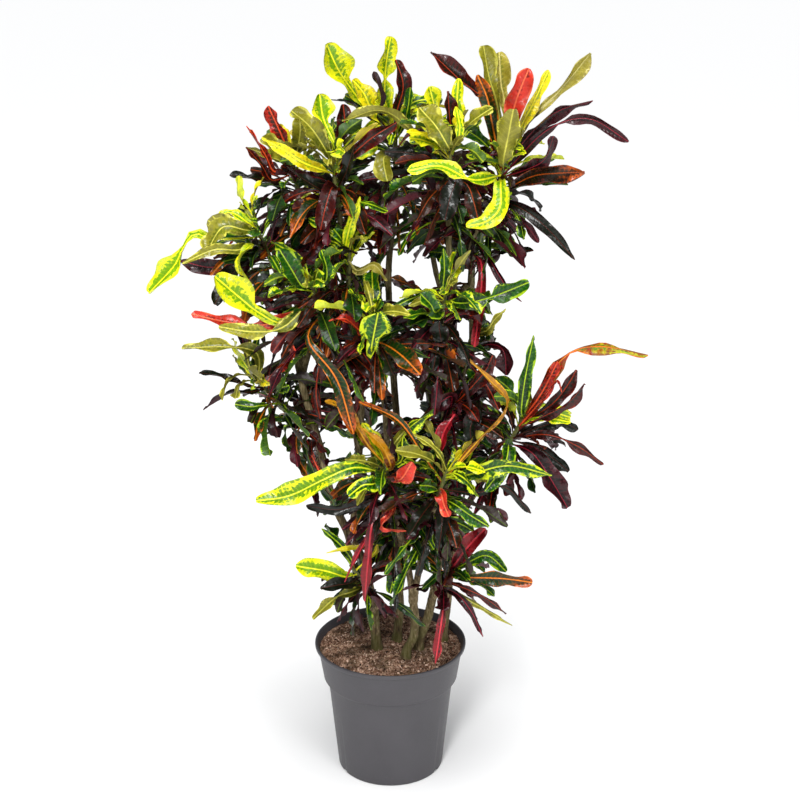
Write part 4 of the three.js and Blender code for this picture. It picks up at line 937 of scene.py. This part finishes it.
        ["dark", "strap", 22, 9, 10, 30, [-66, -142, 424], [-86, -152, 426], [-114, -154, 422]],
        ["olive", "broken", 18, -16, 0, 30, [-66, -122, 396], [-92, -132, 390], [-130, -134, 352]],
    ],
    "foot_right": [
        ["crimson", "strap", 28, 20, 0, -20, [108, -132, 452], [128, -144, 488], [158, -146, 524]],
        ["green", "strap", 21, 10, 20, 0, [130, -132, 456], [162, -144, 474], [194, -146, 446]],
        ["darkorange", "strap", 26, 0, 10, 30, [142, -152, 438], [188, -164, 442], [236, -166, 436]],
        ["darkred", "strap", 16, -10, 0, 60, [126, -152, 418], [160, -164, 406], [194, -166, 378]],
        ["olive", "lance", 10, -20, 0, 40, [124, -132, 392], [162, -144, 374], [206, -146, 346]],
        ["maroon", "lance", 14, -28, 0, 30, [114, -142, 402], [138, -154, 374], [156, -156, 332]],
        ["crimson", "strap", 16, -22, 0, 40, [90, -132, 376], [84, -138, 322], [78, -138, 270]],
    ],
    "mid_low": [
        ["dark", "strap", 26, -6, 0, 30, [136, -130, 722], [130, -146, 696], [136, -150, 666]],
        ["maroon", "strap", 22, 6, 0, -30, [100, -130, 748], [78, -146, 740], [56, -150, 718]],
        ["darkred", "strap", 24, 16, 0, 30, [130, -120, 758], [152, -130, 790], [164, -134, 818]],
        ["crimson", "broken", 22, -20, 0, 30, [106, -130, 718], [88, -144, 692], [82, -146, 658]],
    ],
}

# Each colouring: the blade at its tip and at its root, the islands between its side veins, its rib
# and margin, and its underside; then how far the islands spread, how plain the side veins are, how
# broad the rib's band is in millimetres, how broad the margin is, and at which share of the leaf's
# length the tip's colour begins.
COLOURINGS = {
    "lime": ("eef014", "bcd810", "4c8c0a", "f8f420", "c0cc3a", 0.72, 0.12, 1.1, 0.6, 0.5),
    "gold": ("f0dc10", "c4b012", "7c9412", "f8ee28", "ccba40", 0.56, 0.1, 1.2, 0.4, 0.5),
    "olive": ("8e8a20", "5c6216", "5e6812", "d0ca50", "807c2c", 0.52, 0.08, 0.9, 0.4, 0.5),
    "rimmed": ("246810", "184808", "0c3404", "d0e022", "4c6c20", 0.62, 0.14, 1, 0.8, 0.5),
    "green": ("185408", "103606", "082804", "a4c41c", "38581a", 0.62, 0.1, 0.8, 0.4, 0.5),
    "deepgreen": ("123a0a", "0c2606", "061a04", "648018", "2a1812", 0.66, 0.05, 0.5, 0.1, 0.5),
    "dark": ("10140a", "140706", "071205", "48180e", "260b10", 0.66, 0.02, 0.4, 0, 0.5),
    "brown": ("341608", "1c0a06", "0c1405", "983c10", "3a120e", 0.66, 0.06, 0.6, 0.1, 0.5),
    "darkred": ("400a06", "2a0607", "0a1006", "9c2e10", "400e12", 0.66, 0.08, 0.7, 0.1, 0.5),
    "maroon": ("34070f", "200508", "0e0506", "84182a", "42101a", 0.62, 0.06, 0.6, 0.05, 0.5),
    "red": ("a81c0e", "5c100a", "1a1808", "e8502a", "701a14", 0.62, 0.22, 1.2, 0.25, 0.5),
    "coral": ("cc3020", "961e14", "641410", "f06a44", "bc4838", 0.42, 0.1, 1.1, 0.3, 0.5),
    "crimson": ("840e18", "4c0810", "1c0808", "d03440", "741428", 0.5, 0.08, 1.3, 0.1, 0.5),
    "darkorange": ("a0440c", "0e3208", "0a1e05", "d87418", "3c2410", 0.56, 0.08, 1, 0.2, 0.8),
    "fire": ("c85812", "1c0e06", "0e1405", "a8480f", "501a10", 0.66, 0.06, 0.7, 0.2, 0.86),
    "amber": ("e09a16", "7c3a0c", "3a480c", "eca824", "9c6a1e", 0.55, 0.15, 1.2, 0.3, 0.45),
    "tan": ("a89c34", "686420", "787c2c", "dcd078", "a09244", 0.42, 0.15, 1, 0.3, 0.5),
    "rainbow": ("bccc1c", "96260c", "4f7614", "ec7c20", "885422", 0.5, 0.2, 1.2, 0.3, 0.72),
    "yellowtip": ("ecf016", "144008", "246c0a", "dce428", "84a02c", 0.62, 0.15, 1.1, 0.5, 0.42),
}
YOUNG_COLOURS = ["lime", "rimmed", "olive", "lime", "rimmed", "olive", "gold", "green"]
OLD_COLOURS = ["dark", "deepgreen", "maroon", "green", "brown", "deepgreen", "darkred", "dark"]
OLD_COLOURS += ["deepgreen", "maroon", "green", "darkorange"]


def bulge(t, foot, early, blunt):
    """A hump over the blade's length: the sine of a half turn, early or late by a power of the share
    past the foot, and blunter the lower the power of the sine."""
    share = np.clip((t - foot) / (1 - foot), 0, 1)
    return np.sin(np.pi * share**early) ** blunt


# Each form of leaf: its half width at a share of its length, as a share of its full half width.
FORMS = {
    "strap": lambda t: bulge(t, 0.12, 1.8, 0.45),
    "lance": lambda t: bulge(t, 0.08, 1, 0.65),
    "broken": lambda t: bulge(t, 0.1, 1.2, 0.42) * (1 - 0.9 * np.exp(-(((t - 0.55) / 0.07) ** 2))),
    "spoon": lambda t: np.maximum(
        bulge(t, 0.64, 1, 0.42), 0.4 * bulge(t, 0.1, 1.4, 0.7) * (t < 0.66)
    ),
}
SPIRAL_FORMS = ["strap", "lance", "strap", "broken", "strap", "strap", "spoon"]


class Leaf:
    """A leaf on a head, along a curve from its shoot through some places. Its upper face looks along
    facing until its turn rolls it about its rib."""

    def __init__(self, root, places, facing, phase, form, width, turn, colouring):
        self.form = form
        self.width = width
        self.turn = turn
        self.tip = np.array(places[-1], float)
        self.facing = facing
        self.phase = phase
        self.colouring = colouring
        self.curve, self.length = curve_through([root, *places])

    def sections(self, t):
        """The blade across its rib at shares t of its length: its middle, its side and upper
        directions and its half width. It rolls from its first turn to its last by 3t^2 - 2t^3, and it
        is never narrower than its stalk, whose width falls off as 1 - t^2."""
        middle, along = self.curve(t)
        square = unit(self.facing - along * (along @ self.facing)[:, None])
        across = np.cross(along, square)
        roll = np.radians(lerp(*self.turn, t * t * (3 - 2 * t)))[:, None]
        side = across * np.cos(roll) - square * np.sin(roll)
        upper = np.cross(side, along)
        reach = self.width / 2 * FORMS[self.form](t)
        return middle, side, upper, np.maximum(reach, PETIOLE / 2 * (1 - t * t))


def leaf_rings(leaf):
    """The closed skin of a leaf: over the upper face from edge to edge and back along the underside.
    The edges rise by the fold and by waves that run along the leaf, both growing with the share from
    the rib. The two faces part by the blade's thickness, which is nil at the edges, and by the rib's,
    which dies out as exp(-y^2). Each point also gets its measures along and across the leaf, the half
    width, t, the number of its colouring and a number drawn for the leaf."""
    step = np.linspace(0, 1, LEAF_ROWS)
    t = 1 - (1 - step) ** 1.5
    t[-1] = LAST_ROW
    middle, side, upper, half = leaf.sections(t)
    over = np.array(UPPER_SHARES)
    share = np.concatenate([over, over[-2:0:-1]])
    face = np.where(np.arange(len(share)) < len(over), 1, -1) * (np.abs(share) < 1)
    t = t[:, None]
    half = half[:, None]
    wave = WAVE * leaf.width * np.sin(19 * t + leaf.phase + 1.9 * share) * np.minimum(1, 3 * t)
    ripple = 0.4 * WAVE * leaf.width * np.sin(41 * t + 2 * leaf.phase - 2.6 * share)
    waves = (2 * wave + ripple) * (half > PETIOLE) * share**2
    uneven = 1 + 0.08 * np.sin(17 * t + leaf.phase * 1.7 + 2 * np.sign(share)) * (np.abs(share) > 0.3)
    fold = FOLD * (0.8 + 1.4 * draw(leaf.phase + 5))
    lift = fold * half * np.abs(share) ** 1.5 + waves
    rib = (RIB + RIB_ROOT * (1 - t) ** 3) / 2
    thick = BLADE / 2 * np.sqrt(1 - share**2) + rib * np.exp(-((share * half / RIB_REACH) ** 2))
    rise = lift + face * thick * np.where(face > 0, 0.6, 1)
    y = share * half * uneven
    rings = middle[:, None] + y[..., None] * side[:, None] + rise[..., None] * upper[:, None]
    measures = [t * leaf.length, y, half, t, list(COLOURINGS).index(leaf.colouring), draw(leaf.phase + 3)]
    return np.concatenate([rings, np.stack(np.broadcast_arrays(*measures), -1)], -1)


def placed_ways(head, colouring, form, width, height, root_turn, tip_turn, *places):
    """The ways in which a listed leaf may stand: as given, or a little nearer or farther."""
    share = (np.arange(len(places)) + 1)[:, None] / len(places)
    turn = (root_turn, tip_turn)
    for nearer in NEARER:
        moved = np.array(places, float) + TOWARDS_FRONT * nearer * share
        yield Leaf(head.at(height), moved, TOWARDS_FRONT, width, form, width, turn, colouring)


def spiral_places(head, root, azimuth, length, start, bend):
    """Three places along an arc that leaves the shoot at an angle from its axis and bends outwards."""
    across = unit(np.cross(head.axis, [1, 0, 0]))
    outward = across * np.cos(azimuth) + np.cross(head.axis, across) * np.sin(azimuth)
    end = start + bend * np.array([1 / 3, 2 / 3, 1])
    out = length / bend * (np.cos(start) - np.cos(end))
    up = length / bend * (np.sin(end) - np.sin(start))
    return root + up[:, None] * head.axis + out[:, None] * outward


def drawn_looks(seed, young, widths, root_turns, tip_turns):
    """The form, width, turn and colouring drawn for a leaf."""
    form = SPIRAL_FORMS[int(draw(seed) * len(SPIRAL_FORMS))]
    width = lerp(*widths, draw(seed + 1))
    turn = (lerp(*root_turns, draw(seed + 2)), lerp(*tip_turns, draw(seed + 3)))
    choice = YOUNG_COLOURS if young else OLD_COLOURS
    return form, width, turn, choice[int(draw(seed + 7) * len(choice))]


def sides(count):
    """The steps by which each further way is turned: 0, -1, 1, -2, 2 and so on, each with its number."""
    return [(way, (-1 if way % 2 else 1) * math.ceil(way / 2)) for way in range(count)]


def spiral_ways(head, index, young):
    """The ways in which a leaf of the spiral may stand: each further one is turned round the shoot and
    a little shorter."""
    count = head.young if young else head.old
    seed = 1000 * head.index + (500 if young else 0) + 10 * index
    reach = (YOUNG_REACH if young else OLD_REACH) if head.young else ONLY_REACH
    height = lerp(*reach, (index + 0.5) / count)
    order = index + (7 if young else 0)
    age = 1 - (height + SHOOT_HALF) / (2 * SHOOT_HALF)
    looks = drawn_looks(seed, young, SPIRAL_WIDTHS, [-25, 25], [-60, 100])
    full = lerp(*SPIRAL_LENGTHS, draw(seed + 4)) * lerp(0.85, 1.2, age)
    for way, side in sides(SPIRAL_WAYS):
        azimuth = math.radians(GOLDEN_ANGLE * order + HEAD_TURN * head.index + 21 * side)
        start = math.radians(lerp(*SPIRAL_ANGLES, age) + 12 * draw(seed + 5))
        bend = math.radians(lerp(*SPIRAL_BENDS, draw(seed + 6)) + 4 * side)
        places = spiral_places(head, head.at(height), azimuth, full * (1 - 0.04 * way), start, bend)
        yield Leaf(head.at(height), places, head.axis, seed, *looks)


def as_built(ways, corners):
    """The way whose tip is a corner of the solid, or None if the solid went without the leaf."""
    for leaf in ways:
        if np.min(np.abs(corners - leaf.tip).max(1)) < SAME_TIP:
            return leaf
    return None


def corners_of(node):
    """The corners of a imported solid, in millimetres."""
    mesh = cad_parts[node].data
    corners = np.empty(len(mesh.vertices) * 3, np.float32)
    mesh.vertices.foreach_get("co", corners)
    return corners.reshape(-1, 3).astype(float) * 1000


def leaves_of_solids(head, young):
    """The name of a head's solid and every leaf that it has, found by its tip. A head with young leaves
    has two solids, of which the young one starts a little over the middle of the shoot."""
    node = f"leaves_{head.name}"
    rows = PLACED_LEAVES.get(head.name, [])
    if head.young:
        node += "_young" if young else "_old"
        rows = [row for row in rows if (row[3] > YOUNG_FROM) == young]
    ways = [placed_ways(head, *row) for row in rows]
    ways += [spiral_ways(head, index, young) for index in range(head.young if young else head.old)]
    corners = corners_of(node)
    return node, [leaf for leaf in (as_built(way, corners) for way in ways) if leaf]


# The crown is far denser than its solids, so smaller leaves fill it. A map of small cells says which
# room is taken, and a filling leaf that would cross a taken cell is turned, shortened or left out.
# It stays within the crown, given as (height, reach to the left, reach to the right), and out of the
# clearings where light shows through, as (x, z, radius) at y 0 for an eye in front of the plant.
CELL = 5
CROSSED = 0.06
WALL_CLEARANCE = 4
CLAIMED_FROM = 0.22
TESTED_FROM = 0.25
SAMPLE_ROWS = 22
FILL_OLD = 40
FILL_YOUNG = 7
FILL_TOP = 16
FILL_FOOT = 22
FILL_LENGTHS = [66, 128]
FILL_WIDTHS = [11, 23]
FILL_ANGLES = [14, 66]
FILL_BENDS = [25, 95]
FILL_WAYS = 14
FILL_YOUNG_REACH = [10, 42]
FILL_LOWEST = -95
FILL_FOOT_LOWEST = -30
FILL_HIGHEST = 0
FILL_ONLY_HIGHEST = 30
CROWN = [
    (300, 110, 175), (400, 120, 180), (475, 125, 155), (550, 145, 195), (600, 165, 290),
    (680, 220, 325), (735, 290, 325), (760, 280, 200), (795, 270, 180), (870, 295, 170),
    (935, 305, 185), (975, 305, 260), (1040, 250, 280), (1120, 240, 295), (1185, 200, 335),
]
EYE = (17, -2500, 1568)
CLEARINGS = [
    (62, 915, 26), (4, 932, 17), (2, 880, 13), (-45, 937, 12), (128, 906, 15), (166, 901, 13),
    (21, 718, 19), (29, 682, 16), (-89, 613, 21), (-93, 569, 14), (131, 817, 14), (-141, 759, 12),
]
room_low = np.array(cad_box[0]) * 1000
room_high = np.array(cad_box[1]) * 1000
taken = np.zeros(np.ceil((room_high - room_low) / CELL).astype(int) + 3, bool)


def cells_of(points):
    """The cells that points lie in, as indexes into the map."""
    cells = np.floor((points.reshape(-1, 3) - room_low) / CELL).astype(int) + 1
    return tuple(np.clip(cells, 0, np.array(taken.shape) - 1).T)


def leaf_samples(leaf, start):
    """Points over the blade beyond a share of its length."""
    middle, side, _, half = leaf.sections(np.linspace(start, 1, SAMPLE_ROWS))
    share = np.array([-1, -0.5, 0, 0.5, 1])
    return middle[:, None] + (share * half[:, None])[..., None] * side[:, None]


def claim(leaf):
    """Marks the room of a leaf as taken, all but its root, where the leaves of a head meet."""
    taken[cells_of(leaf_samples(leaf, CLAIMED_FROM))] = True


def is_free(leaf):
    """Whether a leaf keeps to its room and crosses almost nothing."""
    points = leaf_samples(leaf, TESTED_FROM)
    x, z = points[..., 0], points[..., 2]
    heights, left, right = np.array(CROWN).T
    within = (x > -np.interp(z, heights, left)) & (x < np.interp(z, heights, right))
    seen = EYE + (points - EYE) * (-EYE[1] / (points[..., 1:2] - EYE[1]))
    for clear_x, clear_z, radius in CLEARINGS:
        within &= np.hypot(seen[..., 0] - clear_x, seen[..., 2] - clear_z) > radius
    low, high = room_low + WALL_CLEARANCE, room_high - WALL_CLEARANCE
    inside = np.all(within) and np.all((points > low) & (points < high))
    return inside and np.mean(taken[cells_of(points)]) < CROSSED


def shoot_place(head, height):
    """A place on the shoot or, under its foot, on the limb that carries it."""
    if height >= -SHOOT_HALF:
        return head.at(height)
    curve, length = limb_under[head.name]
    return curve(np.array([1 + (height + SHOOT_HALF) / length]))[0][0]


def filling_count(head, young):
    """How many leaves are tried: few at the foot of the plant, where the stems show, and more young
    ones at its top."""
    if "foot" in head.name:
        return 0 if young else FILL_FOOT
    if young:
        return FILL_TOP if "top" in head.name else FILL_YOUNG
    return FILL_OLD


def filling_leaf(head, index, young):
    """A smaller leaf for the gaps, or None if no way is free."""
    seed = 40000 + 1000 * head.index + (500 if young else 0) + 11 * index
    if young:
        low, high = FILL_YOUNG_REACH
    else:
        low = FILL_FOOT_LOWEST if "foot" in head.name else FILL_LOWEST
        high = FILL_HIGHEST if head.young else FILL_ONLY_HIGHEST
    height = lerp(low, high, (index + draw(seed + 8)) / filling_count(head, young))
    age = 1 - (height + SHOOT_HALF) / (2 * SHOOT_HALF)
    root = shoot_place(head, height)
    looks = drawn_looks(seed, young, FILL_WIDTHS, [-30, 30], [-140, 140])
    full = lerp(*FILL_LENGTHS, draw(seed + 4)) * lerp(0.8, 1.15, min(age, 1.2))
    for way, side in sides(FILL_WAYS):
        around = GOLDEN_ANGLE * index + HEAD_TURN * head.index + 23 * side + 90 * draw(seed + 9)
        azimuth = math.radians(around)
        start = math.radians(lerp(*FILL_ANGLES, min(age, 1.3)) + 20 * draw(seed + 5) + 3 * side)
        bend = math.radians(lerp(*FILL_BENDS, draw(seed + 6)) + 5 * side)
        places = spiral_places(head, root, azimuth, full * (1 - 0.03 * way), start, bend)
        leaf = Leaf(root, places, head.axis, seed, *looks)
        if is_free(leaf):
            return leaf
    return None


def leaf_finish():
    """Glossy, leathery blades. The side veins run out from the rib at a slant, every few millimetres:
    where along - 0.6 |across| passes a whole number of steps. Islands are blotches that spread between
    the veins and fade towards the margin, and the rib, the margin and the veins have the rib's colour.
    The root's colour gives way to the tip's along a ragged line."""
    material, shader, places = finish_of("Croton leaf", Specular_IOR_Level=0.33)
    patch = places.noise(75, 2)
    blotch = places.noise(230, 3)
    shades = {part: places.measure(part) for part in BLADE_SHADES}
    along, across, half = places.measure("spot", 1).parts()
    band, islands, veins = places.measure("pattern", 1).parts()
    ripe, margin, chance = places.measure("trim", 1).parts()
    upper = places.measure("upper", 2)
    off = across.math("ABSOLUTE", across)
    share = off / (half + 0.00001)
    left = across.math("GREATER_THAN", across, 0)
    run = (along - off * 0.6) / (VEIN_STEP / 1000) + left * 0.5 + blotch * 0.9
    wave = run.math("PINGPONG", run, 0.5) * 2
    vein = (1 - wave.step(0.04, 0.3)) * (1 - share.step(0.7, 1))
    rib_width = band * (blotch * 0.0007 + 0.0003)
    rib = 1 - off.step(rib_width, rib_width * 2 + 0.0004)
    edge = (share + margin * (patch * 2 - 0.6)).step(0.92, 1.1) * (margin * 8).step(0, 1)
    spread = islands + chance * 0.3 + wave * 0.16 - share * 0.7 + patch * 1.2 + blotch * 0.6
    island = spread.step(1.38, 1.62) * (1 - edge)
    skin = (ripe + patch * 0.6).step(0.2, 0.42).mix(shades["base"], shades["blade"])
    blade = (island * 0.9).mix(skin, shades["island"])
    lines = rib.math("MAXIMUM", rib.math("MAXIMUM", rib, edge), vein * veins)
    face = lines.mix(blade, shades["rib"])
    below = (rib * 0.6 + vein * 0.12).mix(shades["under"], shades["rib"])
    whole = upper.mix(below, face)
    shade = whole.node("ShaderNodeHueSaturation", {}, {"Color": whole, "Value": patch * 0.9 + 0.42})
    gloss = 0.4 - upper * 0.16 + patch * 0.1
    height = wave.step(0, 0.8) * 0.14 + patch + blotch * 0.1 - rib * 0.4
    feed(shader, places, height, 0.0009, Base_Color=shade, Roughness=gloss)
    return material


def shoot_finish():
    """The green skin of a young shoot, in two tones that run into each other."""
    material, shader, places = finish_of("Green shoot", Roughness=0.6)
    patches = places.noise(120, 3)
    skin = patches.step(0.35, 0.65).mix(colour("4a4a26"), colour("6c6e34"))
    feed(shader, places, patches, 0.001, Base_Color=skin)
    return material


def shoot_rings(head, low, high):
    """A rod along the shoot, as thick as its solid, with one low ridge that winds round it: a quarter
    of a millimetre times the sine of the angle + 0.9 of the height."""
    height = np.linspace(low, high, SHOOT_ROWS)
    angle = np.arange(SHOOT_AROUND) * 2 * np.pi / SHOOT_AROUND
    aside = unit(np.cross(head.axis, [0, 1, 0]))
    ahead = np.cross(head.axis, aside)
    radius = lerp(*SHOOT_RADII, (height + SHOOT_HALF) / (2 * SHOOT_HALF))
    radius = radius[:, None] + 0.25 * np.sin(angle + height[:, None] * 0.9)
    spokes = np.cos(angle)[:, None] * aside + np.sin(angle)[:, None] * ahead
    middle = head.middle + height[:, None] * head.axis
    return middle[:, None] + radius[..., None] * spokes


def leafy_piece(name, head, leaves, low, high):
    """One piece of a head: its leaves and its stretch of shoot, with the leaves' measures and colours
    as attributes of their points."""
    stacks = [leaf_rings(leaf) for leaf in leaves]
    shoot = shoot_rings(head, low, high)
    bare = np.zeros((*shoot.shape[:2], stacks[0].shape[2] - 3))
    points, quads, triangles = join_rings([*stacks, np.concatenate([shoot, bare], -1)])
    made = piece_of(name, points, quads, triangles, [leaf_material, shoot_material])
    mesh = made.data
    leaf_quads = len(quads) - (SHOOT_ROWS - 1) * SHOOT_AROUND
    is_rod = np.zeros(len(mesh.polygons), int)
    is_rod[leaf_quads : len(quads)] = 1
    is_rod[-2 * SHOOT_AROUND :] = 1
    mesh.polygons.foreach_set("material_index", is_rod)
    over = len(UPPER_SHARES) - 1
    on_top = np.ones(len(mesh.polygons), np.float32)
    on_top[:leaf_quads] = np.arange(leaf_quads) % (2 * over) < over
    write(mesh, "upper", "FLOAT", on_top, "FACE")
    along, across, half, t, style, chance = points[:, 3:].T
    write(mesh, "spot", "FLOAT_VECTOR", np.stack([along, across, half], -1) / 1000, key="vector")
    style = style.round().astype(int)
    tint = (0.8 + 0.4 * chance)[:, None]
    opaque = np.ones((len(points), 1))
    for k, part in enumerate(BLADE_SHADES):
        rgba = np.concatenate([np.clip(palette[style, k] * tint, 0, 1), opaque], 1)
        write(mesh, part, "FLOAT_COLOR", rgba, key="color")
    islands, veins, band, margin, tip_from = pattern[style].T
    write(mesh, "pattern", "FLOAT_VECTOR", np.stack([band, islands, veins], -1), key="vector")
    write(mesh, "trim", "FLOAT_VECTOR", np.stack([t - tip_from, margin, chance], -1), key="vector")
    return made


palette = np.array([[colour(code) for code in row[:5]] for row in COLOURINGS.values()])
pattern = np.array([row[5:] for row in COLOURINGS.values()])
leaf_material = leaf_finish()
shoot_material = shoot_finish()

grown = []
for head in heads.values():
    for young in (False, True) if head.young else (False,):
        node, leaves = leaves_of_solids(head, young)
        grown.append((node, head, young, leaves))
        for leaf in leaves:
            claim(leaf)
for index in range(FILL_OLD):
    for node, head, young, leaves in grown:
        if index < filling_count(head, young):
            leaf = filling_leaf(head, index, young)
            if leaf:
                claim(leaf)
                leaves.append(leaf)
for node, head, young, leaves in grown:
    low = YOUNG_FROM if young else -SHOOT_HALF
    high = YOUNG_FROM if head.young and not young else SHOOT_HALF
    made = leafy_piece(node.replace("leaves_", "foliage_"), head, leaves, low, high)
    fitted(made, "young_leaves" if young else "old_leaves", node)

# ---- Floor, lights and camera ----
# A plain pale floor, two soft lamps at the front, broad light from overhead and a dim, even sky. The
# camera stands at eye height, 2.5 m away, and looks down on the plant.


def area_light(name, place, aim, size, power):
    """A square lamp at a place, facing another."""
    lamp = bpy.data.lights.new(name, "AREA")
    lamp.size = size
    lamp.energy = power
    made = bpy.data.objects.new(name, lamp)
    made.location = place
    x, y, z = np.array(aim, float) - place
    tilt = math.atan2(math.hypot(x, y), -z)
    made.rotation_euler = (tilt, 0, math.atan2(y, x) - math.pi / 2)
    bpy.context.collection.objects.link(made)


PLANT_MIDDLE = (0, 0, 0.7)
area_light("key", (-0.45, -2.8, 2.7), PLANT_MIDDLE, 0.6, 80)
area_light("fill", (1.6, -2.4, 1.5), PLANT_MIDDLE, 0.9, 20)

overhead = bpy.data.objects.new("overhead", bpy.data.lights.new("overhead", "SUN"))
overhead.data.energy = 2.7
overhead.data.angle = math.radians(40)
overhead.rotation_euler = (math.radians(10), 0, 0)
bpy.context.collection.objects.link(overhead)

sky = bpy.data.worlds.new("pale sky")
sky.use_nodes = True
background = sky.node_tree.nodes["Background"]
background.inputs["Color"].default_value = (0.95, 0.97, 1, 1)
background.inputs["Strength"].default_value = 0.24
bpy.context.scene.world = sky

FLOOR_HALF = 25000
corners = np.array([[-1, -1, 0], [1, -1, 0], [1, 1, 0], [-1, 1, 0]]) * FLOOR_HALF
floor_finish, floor_shader, _ = finish_of("Pale floor", Roughness=0.8, Specular_IOR_Level=0.1)
floor_shader.inputs["Base Color"].default_value = (0.94, 0.94, 0.94, 1)
floor = piece_of("floor", corners, np.array([[0, 1, 2, 3]]), np.empty((0, 3), int), [floor_finish])
floor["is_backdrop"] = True

CAMERA_PLACE = (0.0172, -2.5, 1.568)
CAMERA_DOWN = 19.22
FOCAL_PIXELS = 1563
PICTURE_PIXELS = 800
SENSOR_WIDTH = 36
camera = bpy.data.objects.new("camera", bpy.data.cameras.new("camera"))
camera.data.sensor_width = SENSOR_WIDTH
camera.data.lens = SENSOR_WIDTH * FOCAL_PIXELS / PICTURE_PIXELS
camera.location = CAMERA_PLACE
camera.rotation_euler = (math.radians(90 - CAMERA_DOWN), 0, 0)
bpy.context.collection.objects.link(camera)
bpy.context.scene.camera = camera
bpy.context.scene.view_settings.view_transform = "Standard"

boxes = {"cad": cad_box, "shown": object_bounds()}
{name: [list(corner) for corner in box] for name, box in boxes.items()}
